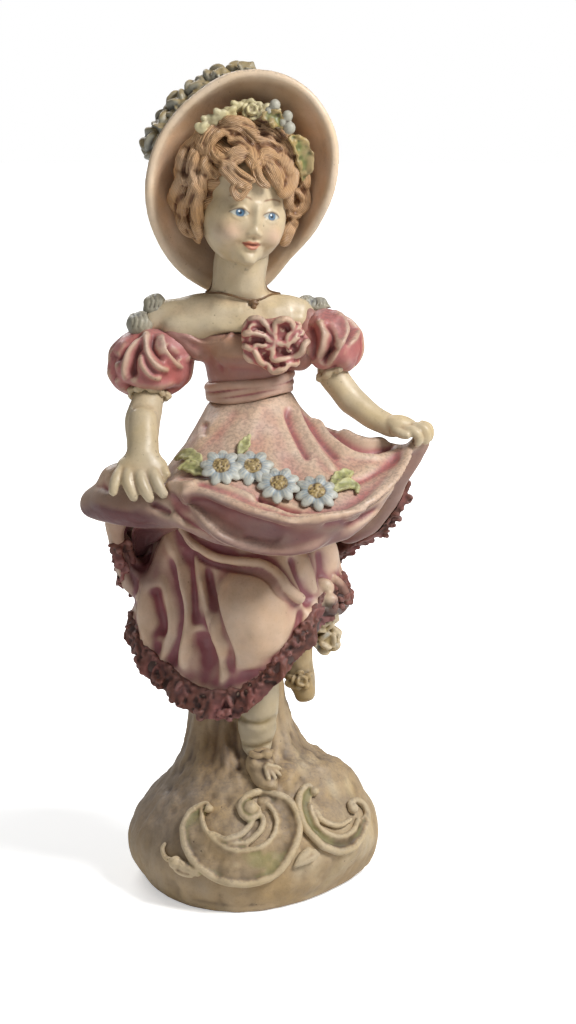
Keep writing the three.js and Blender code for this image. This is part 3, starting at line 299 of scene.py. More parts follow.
class Form:
    """A sculpted surface in drawing millimetres, pushed in and out along its normals."""

    def __init__(self, forms, voxel=0.45, rounds=6, coarse=0, coarse_rounds=30, whole=False):
        if coarse:
            self.points, self.faces = main_body(*remeshed(forms, coarse))
            self.relax(coarse_rounds, 0.6, -0.61)
            forms = [self.clay()]
        fused = remeshed(forms, voxel)
        self.points, self.faces = fused if whole else main_body(*fused)
        self.voxel = voxel
        self.relax(rounds)
        self.refresh()

    def clay(self):
        return self.points, [tuple(face) for face in self.faces]

    def joined(self, forms, *settings):
        """This surface fused with further closed forms."""
        return Form([self.clay()] + forms, *settings)

    def blurred(self, values):
        """Each vertex's mean of its neighbours' values."""
        start = self.faces.reshape(-1)
        end = self.faces[:, [1, 2, 3, 0]].reshape(-1)
        count = np.maximum(np.bincount(start, minlength=len(self.points)), 1)
        if values.ndim == 1:
            return np.bincount(start, values[end], len(self.points)) / count
        return np.stack([np.bincount(start, row[end], len(self.points)) / count for row in values.T], 1)

    def relax(self, rounds, share=0.5, back=0.0):
        for _ in range(rounds):
            self.points = self.points + share * (self.blurred(self.points) - self.points)
            if back:
                self.points = self.points + back * (self.blurred(self.points) - self.points)

    def refresh(self):
        self.normal = normals(self.points, self.faces)
        self.photo = pixels(self.points)
        self.front = ramp(np.sum(self.normal * unit(EYE - self.points), 1), 0.0, 0.3)
        self.push = np.zeros(len(self.points))

    def along(self, line, width, space):
        """Vertices near a line in some space: which, how far along it, and how far off in widths."""
        dense = spline(line, width * 0.3)
        low, high = dense.min(0) - 3 * width, dense.max(0) + 3 * width
        near = np.flatnonzero(((space > low) & (space < high)).all(1))
        if not len(near):
            return near, None, None
        gap = space[near, None] - dense[None]
        nearest = (gap**2).sum(2).argmin(1)
        off = gap[np.arange(len(near)), nearest]
        return near, nearest / (len(dense) - 1), np.linalg.norm(off, axis=1) / width

    def stroke(self, line, width, height, space=None, mask=None, ends=0.18):
        """A ridge, or with a negative height a groove, that fades at its ends."""
        near, t, off = self.along(np.asarray(line, float), width, self.photo if space is None else space)
        if not len(near):
            return
        fade = ramp(t, 0, ends) * ramp(1 - t, 0, ends) if ends else 1.0
        mask = self.front if mask is None else mask
        self.push[near] += height * np.exp(-(off**2)) * fade * mask[near]

    def carve(self, rows, **settings):
        """Strokes, each a row of a width, a height and then the line's pixels."""
        for width, height, *line in rows:
            self.stroke(np.reshape(line, (-1, 2)), width, height, **settings)

    def rough(self, *layers):
        """Unevenness in layers of an amount, a size and a seed."""
        self.push += sum(amount * mottle(self.points, size, seed) for amount, size, seed in layers)
        return self

    def patch(self, centre, radii):
        """1 within an oval seen in the photograph, and 0 outside it, with a soft edge."""
        return np.exp(-(((self.photo - centre) / radii) ** 4).sum(1)) * self.front

    def dab(self, centre, radii, height, space=None, mask=None):
        """A round bump or, with a negative height, a hollow."""
        space = self.photo if space is None else space
        off = ((space - np.asarray(centre, float)) / np.asarray(radii, float)) ** 2
        self.push += height * np.exp(-off.sum(1)) * (self.front if mask is None else mask)

    def settle(self, rounds=2):
        self.points = self.points + self.normal * self.push[:, None]
        self.relax(rounds)
        self.refresh()
        return self

    def hollows(self, counts=(3, 14, 50)):
        """How far each vertex lies in a hollow, at growing scales, about 0 to 1; less on ridges."""
        made, smooth, done = [], self.points, 0
        for count in counts:
            for _ in range(count - done):
                smooth = self.blurred(smooth)
            done = count
            depth = np.sum((smooth - self.points) * self.normal, 1)
            made.append(depth / (self.voxel * math.sqrt(count) * 0.25))
        return made


def colour(text):
    """Linear light values of a colour written as in a paint list."""
    value = np.array([int(text[i : i + 2], 16) for i in (1, 3, 5)]) / 255
    return np.where(value < 0.04045, value / 12.92, ((value + 0.055) / 1.055) ** 2.4)


def mixed(base, other, share):
    """Paint with a share of another one in it, which is given by its name or its values."""
    other = PAINT[other] if isinstance(other, str) else np.asarray(other)
    share = np.clip(np.broadcast_to(share, len(base)), 0, 1)[:, None]
    return base * (1 - share) + other * share


# Paints, as they look in plain light
PAINT = {
    "skin": "#c3b191",
    "skin_shade": "#b89a78",
    "cream": "#c6aa92",
    "blush": "#ac8577",
    "pink": "#b0706c",
    "mauve": "#8c5459",
    "rose": "#955b56",
    "wine": "#6f4142",
    "lace": "#71503f",
    "lace_deep": "#432d27",
    "lace_light": "#a08272",
    "antique": "#463427",
    "hair": "#c09b74",
    "hair_deep": "#7c5538",
    "straw": "#a3866c",
    "straw_shade": "#4a392d",
    "rim": "#d8c1a6",
    "moss": "#9c9683",
    "moss_deep": "#5a5648",
    "petal": "#b3b3a8",
    "petal_blue": "#7d8f9c",
    "ochre": "#a38d5e",
    "leaf": "#b0ad7c",
    "leaf_deep": "#757b45",
    "earth": "#a68f6e",
    "earth_deep": "#5a4935",
    "slate": "#5c5351",
    "moss_green": "#8d8958",
    "sand": "#c4b291",
    "umber": "#73573a",
    "bud": "#a8a596",
    "cheek": "#cfa08c",
    "lip": "#b8705c",
    "eye_white": "#bfbfb4",
    "iris": "#5b7890",
    "pupil": "#2a3340",
    "lash": "#5b4434",
    "brow": "#8a6a50",
    "glint": "#eef0ee",
}
PAINT = {name: colour(text) for name, text in PAINT.items()}

finished = {}


def keep(name, form, paint, nodes=None, look="resin", strands=None):
    """Notes a finished form with its paint, and the CAD nodes that it stands for."""
    finished[name] = {"form": form, "paint": paint, "nodes": nodes or [name], "look": look, "strands": strands}


def washed(form, ridge, hollow, deep="antique", reach=1.0, depth=1.0):
    """The usual paint: light on ridges, a wash in hollows and dark in the finest creases."""
    fine, middle, wide = form.hollows()
    base = np.repeat(PAINT[ridge][None], len(form.points), 0)
    patch = 0.10 * mottle(form.points, 6, 3) + 0.06 * mottle(form.points, 2, 4)
    base = mixed(base, PAINT[hollow], reach * (0.25 + 0.9 * wide + 0.6 * middle) + patch)
    return mixed(base, PAINT[deep], depth * np.clip(1.1 * fine - 0.12, 0, 0.85))


class Ground:
    """A surface that further pieces are set on."""

    def __init__(self, *forms):
        points, faces, count = [], [], 0
        for form in forms:
            points.append(form.points)
            faces.append(form.faces + count)
            count += len(form.points)
        points = np.vstack(points)
        self.middle = points[:, 1].mean()
        self.tree = BVHTree.FromPolygons(points.tolist(), np.vstack(faces).tolist())

    def seen(self, pixel, proud=0.0):
        """The surface point that shows at a pixel, or the nearest one to it."""
        hit, normal, _, _ = self.tree.ray_cast(Vector(EYE), Vector(sight(pixel)))
        if hit is None:
            hit, normal, _, _ = self.tree.find_nearest(Vector(at_depth(pixel, self.middle)))
        return np.array(hit) + np.array(normal) * proud

    def near(self, point, proud=0.0):
        hit, normal, _, _ = self.tree.find_nearest(Vector(point))
        return np.array(hit) + np.array(normal) * proud


def laid(ground, rows, proud=0.0, step=3.0):
    """Rows of pixel and radius, put on a surface as the rows of a cord that lies proud of it."""
    rows = np.reshape(rows, (-1, 3))
    rows = np.column_stack([rows, np.broadcast_to(proud, len(rows))])
    return [(*ground.seen(row[:2], row[3]), row[2]) for row in spline(rows, step)]


def limb(rows, depth=None, step=0.8):
    """A round cord through rows of pixel, radius and depth, or through rows at one depth."""
    rows = np.reshape(rows, (-1, 4 if depth is None else 3))
    depths = rows[:, 3] if depth is None else np.full(len(rows), depth)
    return tube([(*at_depth(row[:2], y), row[2]) for row, y in zip(rows, depths)], 12, step)


def posed(form, centre, facing):
    """A form made round +Z, turned to face a direction and moved to a place."""
    way = Vector((0, 0, 1)).rotation_difference(Vector(facing)).to_matrix()
    return form[0] @ np.array(way).T + np.asarray(centre, float), form[1]


def rose(centre, radius, facing, spin=0.0, rings=((0.30, 0.50, 3), (0.56, 0.32, 5), (0.84, 0.04, 6))):
    """A cabbage rose: overlapping petals that lean out round a bud."""
    forms = [egg((0, 0, 0), (radius * 0.55,) * 3)]
    for ring, (reach, rise, count) in enumerate(rings):
        for k in range(count):
            turn = spin + 360 * (k + 0.5 * ring) / count
            way = np.array((math.cos(math.radians(turn)), math.sin(math.radians(turn)), 0))
            place = way * radius * reach + np.array((0, 0, radius * rise))
            lean = 12 + 22 * ring
            forms.append(egg(place, np.array((0.20, 0.46, 0.42)) * radius, (0, lean, turn)))
    return [posed(form, centre, facing) for form in forms]


rng = np.random.default_rng(11)

# Mound

mound = Form([node("base_mound")], 0.6, 6, 1.15, 40)
at, up = mound.points, mound.points[:, 2]
streaks = mottle(at * (1, 1, 0.13), 2.4, 5) * (0.25 + 0.75 * ramp(up, 18, 44))
mound.push += 0.75 * streaks + 0.55 * mottle(at, 12, 6) + 0.30 * mottle(at * (1, 1, 0.5), 4, 7)
mound.push += 0.14 * mottle(at, 1.6, 8) + 0.28 * mottle(at * (1, 1, 0.1), 1.3, 10) * ramp(up, 22, 44)
mound.carve((
    (5, -0.7, 214, 716, 206, 742, 186, 770, 160, 800),
    (3.0, 1.0, 224, 712, 224, 740, 226, 775),
    (3.0, -0.9, 216, 712, 214, 742, 208, 768),
    (3.4, -1.2, 233, 716, 236, 745, 240, 776),
    (4, -0.5, 292, 716, 304, 742, 330, 762),
    (6, 0.7, 300, 712, 322, 741, 350, 762, 372, 796),
    (6, -0.6, 150, 862, 166, 884, 206, 903, 262, 910, 320, 893, 372, 862),
))
mound.dab((288, 778), (9, 15), 1.9)
mound.dab((344, 768), (30, 20), 2.4)
mound.push *= ramp(up, 0.1, 2.5)
mound.settle(1)
mound.points[:, 2] = np.maximum(mound.points[:, 2], 0)
paint = washed(mound, "earth", "earth_deep", reach=0.55)
at = mound.points
# Painted shade: slate over the mound's left side, away from the light, broken up by mottling
shade = ramp(-at[:, 0] + 7 * mottle(at, 9, 9), 4, 26)
paint = mixed(paint, "slate", 0.48 * shade * ramp(at[:, 2], 2, 24))
brown = np.exp(-((mound.photo - (222, 738)) / (26, 42)) ** 2 @ np.ones(2)) * mound.front
paint = mixed(paint, "umber", 0.7 * brown)
veins = ramp(mottle(at * (1, 1, 0.2), 2.6, 12), 0.1, 0.7) * ramp(at[:, 2], 12, 40)
paint = mixed(paint, "slate", 0.3 * veins)
# Sand in mottled patches, only towards the right: partly the mound's own tone, partly painted light on the lit side
pale_lit_right = ramp(mottle(at * (1, 1, 0.3), 5, 13), 0.0, 0.7) * ramp(at[:, 0], -2, 20)
keep("base_mound", mound, mixed(paint, "sand", 0.5 * pale_lit_right), look="rough")
ground = Ground(mound)


def scroll(rim, inner, flutes, spurs, knobs):
    """A curled scroll: a coved plate between two raised rims, with flutes inside and round ends."""
    outer, lower = (
        np.array(laid(ground, np.reshape(line, (-1, 3)) * (1, 1, 0.70), proud)) for line, proud in ((rim, 1.0), (inner, 0.9))
    )

    def cove(u, w):
        a = outer[int(0.80 * u * (len(outer) - 1))][:3]
        b = lower[int(u * (len(lower) - 1))][:3]
        return ground.near(a + (b - a) * w, -0.5 + 0.9 * (2 * w - 1) ** 2)

    forms = [tube(outer, 10, 0.8), tube(lower, 10, 0.8), sheet(cove, 60, 9, 2.2)]
    forms += [tube(laid(ground, line, 0.75), 10, 0.8) for line in flutes + spurs]
    forms += [egg(ground.seen((px, py), proud), (size,) * 3) for px, py, size, proud in knobs]
    return Form(forms, 0.3, 5, whole=True)


large = scroll(
    (211, 811, 0.9, 210, 806, 1.1, 204.8, 804.5, 1.3, 194, 811, 1.5, 188, 820, 1.6, 185.8, 833, 1.7, 188, 849,
     1.8, 195.5, 861, 1.9, 206.7, 871.5, 1.9, 225, 880.5, 1.9, 247.5, 882.5, 1.9, 268, 877, 1.8, 284.7, 862.9,
     1.8, 295.5, 842.4, 1.7, 298, 825.7, 1.7, 294, 809, 1.7, 284.7, 799.7, 1.7, 270, 794.1, 1.6, 256.8, 793.4,
     1.7, 247, 798.5, 1.9, 242, 808, 2.0, 244, 817, 1.9, 251, 820, 1.7, 257.5, 815, 1.5, 256, 808, 1.2),
    (203, 809, 1.0, 203, 820, 1.1, 208.5, 833, 1.2, 219.7, 844, 1.3, 234.5, 850.4, 1.35, 251, 850.4, 1.35,
     266, 844.3, 1.3, 274, 834.5, 1.2, 276, 823, 1.1, 272.5, 812, 1.0, 266, 804, 0.9),
    [
        (212, 834, 0.9, 225, 840.5, 1.15, 240, 836, 1.15, 249, 827.5, 1.05, 253, 821, 0.9),
        (229, 844.5, 0.9, 245.7, 843.5, 1.05, 257, 836, 1.1, 263, 826, 1.0, 262.5, 816, 0.8),
    ],
    [
        (201, 872, 1.5, 190, 868.5, 1.7, 181, 864, 1.7),
        (176, 861, 1.0, 168, 858, 0.9, 164, 850, 0.8, 167, 843.5, 0.6),
        (194, 875, 0.9, 184, 873.5, 0.9, 177, 869, 0.7),
    ],
    [(178.5, 863, 2.1, 1.2), (210.5, 810, 1.35, 1.2), (251.5, 809, 2.3, 1.2), (265, 802, 4.4, -3.2), (244,
     805, 3.4, -2.2)],
)
small = scroll(
    (313, 792, 1.2, 307, 787, 1.5, 300, 793, 1.6, 297.7, 809, 1.7, 303, 825.7, 1.8, 312.6, 838.7, 1.8, 323.8,
     847.5, 1.8, 336.8, 851, 1.8, 349.8, 847.5, 1.7, 359, 836.8, 1.7, 364, 823.8, 1.6, 364, 812.7, 1.6, 359,
     804, 1.6, 352, 801.5, 1.5, 347.5, 806, 1.4, 351, 811, 1.1),
    (309.5, 806, 1.0, 311.5, 815, 1.1, 317, 826, 1.2, 327.5, 834.5, 1.25, 340.5, 836.5, 1.2, 351, 830, 1.1,
     356.5, 819, 1.0),
    [
        (314.5, 811, 0.8, 322.5, 822, 1.0, 336, 826, 1.0, 348.5, 820.5, 0.8),
    ],
    [
        (293, 866, 0.5, 299, 859, 1.2, 305, 853, 1.6, 309, 849, 1.1),
        (294, 866, 0.5, 303, 861, 1.2, 312, 857, 1.2, 317, 853, 0.7),
        (304, 856, 1.0, 309, 853, 1.2, 314, 851, 0.9),
    ],
    [(312.5, 793, 1.5, 1.2), (350.5, 809, 1.7, 1.2)],
)
for name, form in (("large_scroll", large), ("small_scroll", small)):
    form.rough((0.10, 1.6, 14)).settle(1)
    _, middle, wide = form.hollows()
    paint = washed(form, "earth", "earth_deep", reach=0.8)
    paint = mixed(paint, "sand", 0.6 * ramp(-wide - 0.4 * middle, 0.1, 0.7))
    green = ramp(mottle(form.points, 5, 15) + 1.2 * middle, 0.1, 0.9)
    keep(name, form, mixed(paint, "moss_green", 0.55 * green), look="rough")

# Legs and shoes

leg = Form([node("front_leg", 0.2)], 0.35, 4, 0.8, 90)
leg.carve((
    (2.4, -0.35, 238, 716, 249.6, 722, 262.6, 723, 278, 716),
    (3.4, 0.35, 238, 722, 249.6, 728, 262.6, 729, 277, 722),
    (2.4, -0.4, 236, 742, 246, 746, 258, 747, 274, 741),
    (3.4, 0.3, 236, 737, 246, 741, 258, 742, 274, 736),
), ends=0)
leg.settle(1)
# The leg's skin paint is darkened as painted shade under the skirt
keep("front_leg", leg, washed(leg, "skin", "ochre", depth=0.6) * 0.72)

toe = egg(ground.seen((266, 776), 0.6), (3.8, 2.8, 4.6), (0, 34, 0))
instep = egg(ground.seen((260, 764), 0.8), (4.4, 3.2, 5.0), (0, 30, 0))
shoe = Form([node("front_shoe", 0.2), instep, toe], 0.3, 4, 0.7, 12)
shoe_ground = Ground(shoe)
ribbon = [egg(shoe_ground.seen((266.5, 754.5), 0.5), (1.7, 1.3, 1.5))]
for line in (
    (246, 750, 0.8, 256, 756, 1.0, 266, 755, 0.8),
    (266, 755, 0.8, 273, 751, 1.0, 276, 745, 0.7),
    (267, 764, 0.6, 275, 767, 0.8, 281, 770, 0.6),
    (267, 765, 0.6, 274, 770, 0.8, 280, 776, 0.6),
    (266, 766, 0.6, 271, 773, 0.8, 275, 779, 0.6),
    (265, 766, 0.6, 267, 774, 0.8, 269, 780, 0.6),
):
    ribbon.append(tube(laid(shoe_ground, line, 0.3), 8, 0.6))
shoe = shoe.joined(ribbon, 0.28, 2)
paint = washed(shoe, "earth", "earth_deep")
ribs = np.exp(-(((shoe.photo - (273, 771)) / (11, 12)) ** 4).sum(1)) * ramp(-shoe.hollows((4,))[0], 0.1, 0.6)
keep("front_shoe", shoe, mixed(paint, "sand", 0.8 * ribs), look="rough")

# The rear leg's lower part is drawn out, so that it reaches as far down as in the photograph
points, faces = node("rear_leg", 0.2)
knee_height = at_depth((295, 656), 2)[2]
points[:, 2] -= 0.26 * np.minimum(points[:, 2] - knee_height, 0)
rear = Form([(points, faces)], 0.32, 4, 0.7, 16)
rear.rough((0.5, 3.2, 17)).settle(1)
rear_ground = Ground(rear)
tie = rose(rear_ground.seen((301, 681), 0.6), 3.0, (0.2, -1, 0.1), rings=((0.4, 0.4, 4), (0.8, 0.05, 5)))
tie.append(tube(laid(rear_ground, (281, 672, 0.7, 292, 679, 0.9, 304, 680, 0.7, 311, 672, 0.6), 0.3), 8, 0.6))
rear = rear.joined(tie, 0.3, 3)
keep("rear_leg", rear, mixed(washed(rear, "earth", "earth_deep"), "ochre", 0.35))

# Petticoat, with the knee that pushes it forward and a cord-like fold across it

W, HEM_Z, SKIRT_Z, WAIST_Z = 30, 60, 88, 150
HEM = [
    (W - 3.5, 1, HEM_Z + 33), (W - 4, 12, HEM_Z + 28), (W - 11, 22, HEM_Z + 20), (W - 30, 28, HEM_Z + 12),
    (12 - W, 25, HEM_Z + 10), (1 - W, 14, HEM_Z + 15), (-W - 4, 3, HEM_Z + 22), (-W - 3, -3, HEM_Z + 18),
    (-W, -8, HEM_Z + 13), (7 - W, -13, HEM_Z + 8), (14 - W, -16.5, HEM_Z + 3), (23 - W, -20, HEM_Z + 2),
    (W - 28.5, -23, HEM_Z + 6), (W - 22, -24, HEM_Z + 14), (W - 14, -20, HEM_Z + 24), (W - 8.5, -9, HEM_Z + 30),
]
SKIRT_EDGE = [
    (W + 14, -2, WAIST_Z - 27), (W + 7.5, 5, SKIRT_Z + 24), (W, 13, SKIRT_Z + 18), (W - 11, 24, SKIRT_Z + 9),
    (2, 30, SKIRT_Z + 3), (14 - W, 28, SKIRT_Z), (1 - W, 17, SKIRT_Z + 2), (-W - 5.5, 4, SKIRT_Z + 7),
    (-W - 7, -9, SKIRT_Z + 18),
]
hem_line = spline(HEM, 2.0, True)
edge_line = spline(SKIRT_EDGE, 2.0)


def above(points, line):
    """How far points lie above the nearest part of a hem, in plan."""
    nearest = ((points[:, None, :2] - line[None, :, :2]) ** 2).sum(2).argmin(1)
    return points[:, 2] - line[nearest, 2]



petticoat = Form([
    node("petticoat", 0.3), node("right_side_fall", 0.2), node("lower_swag", -1.5), node("petticoat_lace", -0.3),
], 0.5, 5, 1.1, 20)
petticoat.carve((
    (5, 1.8, 159, 524, 152, 552, 144, 580, 141, 604, 146, 632, 153, 655),
    (6.5, -3.2, 152, 584, 156, 604, 160, 623, 161, 640),
    (3.6, 1.6, 160, 571, 168, 594.6, 171.5, 623, 167, 646.5, 160, 665),
    (3.4, -2.0, 171, 548, 178.5, 585, 181, 620.6, 176, 651, 171.5, 672),
    (4.6, 1.9, 164, 526, 174, 552, 183, 580.5, 188, 609, 185.6, 632, 183, 656, 188, 680),
    (4.4, -2.4, 186, 545, 192.7, 585, 194, 609, 198, 628),
    (4.2, 2.0, 197, 560, 202, 585, 209, 609, 216, 632, 223.4, 656, 224.6, 675, 218.7, 692),
    (4.4, -3.0, 207, 560, 211.6, 594.6, 218.7, 623, 228, 651, 233, 676),
    (4.2, -2.4, 288, 552, 298, 575, 307, 594, 306, 612),
    (3.6, -1.6, 302, 604, 297, 628, 286, 648, 268, 664),
    (3.4, 1.3, 300, 550, 309, 573, 315, 596),
    (6, 0.9, 330, 538, 334, 562, 326, 588),
    (3.6, -1.2, 318, 548, 321, 570, 318, 590),
    (5, 0.8, 150, 660, 164, 684, 178, 694),
    (4, -1.6, 124, 545, 128, 570, 140, 596),
    (5, -2.2, 130, 525, 136, 552, 141, 575),
    (4, 0.8, 112, 530, 118, 556, 124, 580),
    (3.2, 0.7, 188, 664, 189, 640, 193, 630, 201, 628, 212, 634, 221, 650),
))
petticoat.dab((142, 546), (13, 26), -4.0)
petticoat.dab((206, 654), (11, 20), -3.0)
petticoat.dab((203, 644), (9, 9), -1.2)
petticoat.dab((254, 606), (36, 44), 2.2)
at = petticoat.points
turn = np.arctan2(at[:, 1] + 3, at[:, 0])
fold = np.cos(turn * 19 + 1.4 * mottle(at, 22, 21)) * ramp(132 - at[:, 2], 0, 40)
petticoat.push += (1 - petticoat.front) * (1.1 * fold + 0.4 * mottle(at * (1, 1, 0.35), 5, 22))
petticoat.rough((0.22, 6, 23), (0.08, 2.4, 24)).settle(3)
cord_ground = Ground(petticoat)
cord = laid(
    cord_ground,
    (176, 514, 1.0, 184, 531, 1.2, 196, 546, 1.4, 214, 556.5, 1.5, 235, 561.5, 1.5, 259, 565.5, 1.5,
     273, 572, 1.55, 283, 585, 1.7, 293, 595, 1.85, 299, 599, 1.8),
    (0.0, 0.4, 0.8, 1.0, 1.0, 1.0, 1.1, 1.1, 1.1, 1.0),
)
frill = laid(cord_ground, (333, 578, 1.2, 341, 588, 1.6, 345, 600, 1.4, 338, 611, 1.1, 324, 612, 0.9), 0.6)
bow = [
    egg(cord_ground.seen((324, 587), 0.8), (3.0, 2.0, 2.2), (0, 30, 0)),
    egg(cord_ground.seen((328, 600), 0.8), (2.6, 2.0, 2.0)),
    tube(frill, 10, 0.8),
]
petticoat = petticoat.joined([tube(cord, 10, 0.8)] + bow, 0.5, 2)
petticoat.carve([
    (2.6, -1.2, 178, 530, 190, 549, 208, 563, 232, 569, 255, 573, 268, 580, 279, 594, 290, 605),
])
petticoat.settle(1)
paint = washed(petticoat, "cream", "mauve", deep="wine", reach=1.25, depth=0.75)
knee = petticoat.patch((256, 614), (34, 42))
paint = mixed(paint, PAINT["skin_shade"] * 0.4 + PAINT["cream"] * 0.6, 0.7 * knee)
# Painted shade: wine over the deep hollow inside the side fall, stronger towards its right
inside = (0.55 + 0.35 * ramp(petticoat.photo[:, 0] - 122, 0, 10)) * petticoat.patch((136, 550), (28, 42))
paint = mixed(paint, PAINT["wine"] * 0.7, inside)
# Painted shade: below the lace's hem the petticoat is painted dark, as the shade under the hanging lace
paint = mixed(paint, "lace_deep", ramp(-above(petticoat.points, hem_line), -0.4, 1.2))
paint = mixed(paint, "skin", 0.6 * petticoat.patch((325, 593), (8, 13)))
paint = mixed(paint, PAINT["blush"] * 0.85, 0.7 * petticoat.patch((343, 594), (10, 20)))
keep("petticoat", petticoat, paint, ["petticoat", "right_side_fall", "sash_tail", "lower_swag"], look="satin")

# Lace, as clusters of small gathered loops along the hems

def lace(name, hem, closed, reach=0.0):
    """Gathered lace: a heading, a row of loops and a scalloped edge below them."""
    line = spline(hem, 2.6, closed)
    along = unit(np.roll(line, -1, 0) - np.roll(line, 1, 0)) if closed else unit(np.gradient(line, axis=0))
    outward = unit(np.column_stack([along[:, 1], -along[:, 0], 0 * along[:, 0]]))
    forms = [node(name, 0.1)]
    for out in (-0.6 * reach, 0.2 + 0.7 * reach):
        heading_line = np.column_stack([line + outward * out - (0, 0, 0.3), np.full(len(line), 1.2)])
        forms.append(tube(heading_line, 8, 1.3, closed=closed))
    down = np.array((0, 0, -1.0))
    for k, (p, way) in enumerate(zip(line, along)):
        away = unit(np.array((way[1], -way[0], 0.0)))
        heading = math.degrees(math.atan2(away[1], away[0]))
        shake = rng.normal(0, 0.35, (5, 3))
        swing = 0.9 * math.cos(k * 1.9)
        small = 0.5 if 0 < p[0] < 24 and p[1] < 0 or p[0] < -33 else 1.0
        for place, radii, turn in (
            (p + away * (1.6 + reach) + down * -0.6 + shake[0], (0.9, 1.5, 0.8), (0, 0)),
            (p + away * (2.3 + reach + swing * 0.4) + down * 2.2 * small + shake[1],
             (1.1, 0.75, 2.1 * small), (28 * (-1) ** k, 0)),
            (p + away * (2.2 + reach - swing * 0.3) + way * 1.3 + down * 3.6 * small + shake[4],
             (0.9, 0.6, 1.9 * small), (-20, 0)),
            (p + away * (2.8 + reach + swing) * small + down * 5.0 * small + shake[2], (1.0, 1.5, 1.2), (0, -20)),
            (p + away * (2.4 + reach + swing) * small + down * 7.0 * small + shake[3], (1.1, 1.3, 0.9), (0, 0)),
        ):
            forms.append(egg(place, radii, (*turn, heading)))
    form = Form(forms, 0.38, 1)
    form.push += 0.35 * mottle(form.points, 1.6, 31) - 0.6 * ramp(mottle(form.points, 1.2, 32), 0.3, 0.75)
    return form.settle(1)


def lace_paint(form):
    paint = washed(form, "lace", "lace_deep")
    crest = ramp(-form.hollows((4,))[0] + 0.5 * mottle(form.points, 5, 33), 0.2, 1.0)
    paint = mixed(paint, "lace_light", 0.6 * crest) * (0.86, 0.73, 0.75)
    pink = 0.4 * ramp(mottle(form.points, 6, 34), 0.0, 0.6)
    return mixed(paint, PAINT["pink"] * 0.75, pink) * (0.86, 0.74, 0.80)


for name, hem, closed, reach in (("petticoat_lace", HEM, True, 0.0), ("overskirt_lace", SKIRT_EDGE, False, 1.6)):
    form = lace(name, hem, closed, reach)
    keep(name, form, lace_paint(form), look="rough")

roses = []
for centre, radius, facing in (((22.8, 7.5, 72.2), 5.0, (0.3, -1, 0.1)), ((21.6, 5.6, 79.0), 4.5, (0.4, -1, 0.3))):
    roses += rose(centre, radius, facing, 20, ((0.34, 0.44, 3), (0.68, 0.12, 5)))
hem_roses = Form([node("hem_roses", -0.6)] + roses, 0.32, 4)
hem_roses.rough((0.25, 2.0, 35)).settle(1)
paint = washed(hem_roses, "skin", "ochre")
blue = 0.4 * ramp(mottle(hem_roses.points, 3, 36), 0.3, 0.8)
keep("hem_roses", hem_roses, mixed(paint, "petal_blue", blue))

# Overskirt with its rolled edge, the swag under it and the cloth bunched in her hands

CLOTH = ["overskirt", "hem_roll", "upper_swag", "right_bundle", "left_bundle"]
GROWTH = {"hem_roll": -0.2, "upper_swag": -0.6, "right_bundle": -0.5}

# The cloth's thin back wall is backed by the petticoat's upper part, raised clear of the lace
backing, backing_faces = node("petticoat", 0.35)
rear = ramp(backing[:, 1], -6, 2)
lowest = (1 - rear) * 130 + rear * (backing[:, 2] - above(backing, edge_line) + 4)
raised = np.maximum(backing[:, 2], lowest)
backing[:, :2] *= ((160 - raised) / (160 - backing[:, 2]))[:, None] ** 1.15
backing[:, 2] = raised
cloth = Form([node(name, GROWTH.get(name, 0.3)) for name in CLOTH] + [(backing, backing_faces)], 0.55, 5, 1.1, 14)
under_roll = Ground(cloth)
UPPER = (166, 485, 188, 484, 211, 487, 235, 494, 259, 504, 282, 514, 301, 519, 330, 518, 358, 513, 374, 505)
LOWER = (166, 489, 180, 496, 193, 510, 206, 526, 223, 539, 247, 547, 270, 551, 296, 549, 322, 540, 346, 524)
upper, lower = (
    [under_roll.seen(pixel, proud) for pixel in spline(np.reshape(line, (-1, 2)), 4)]
    for line, proud in ((UPPER, 0.1), (LOWER, 0.2))
)


def band(u, w):
    """The broad hollow between the rolled edge and the swag under it."""
    a, b = upper[int(u * (len(upper) - 1))], lower[int(u * (len(lower) - 1))]
    return a + (b - a) * w + np.array((0, 1.5 * math.sin(math.pi * w), 0.5 * math.sin(math.pi * w)))


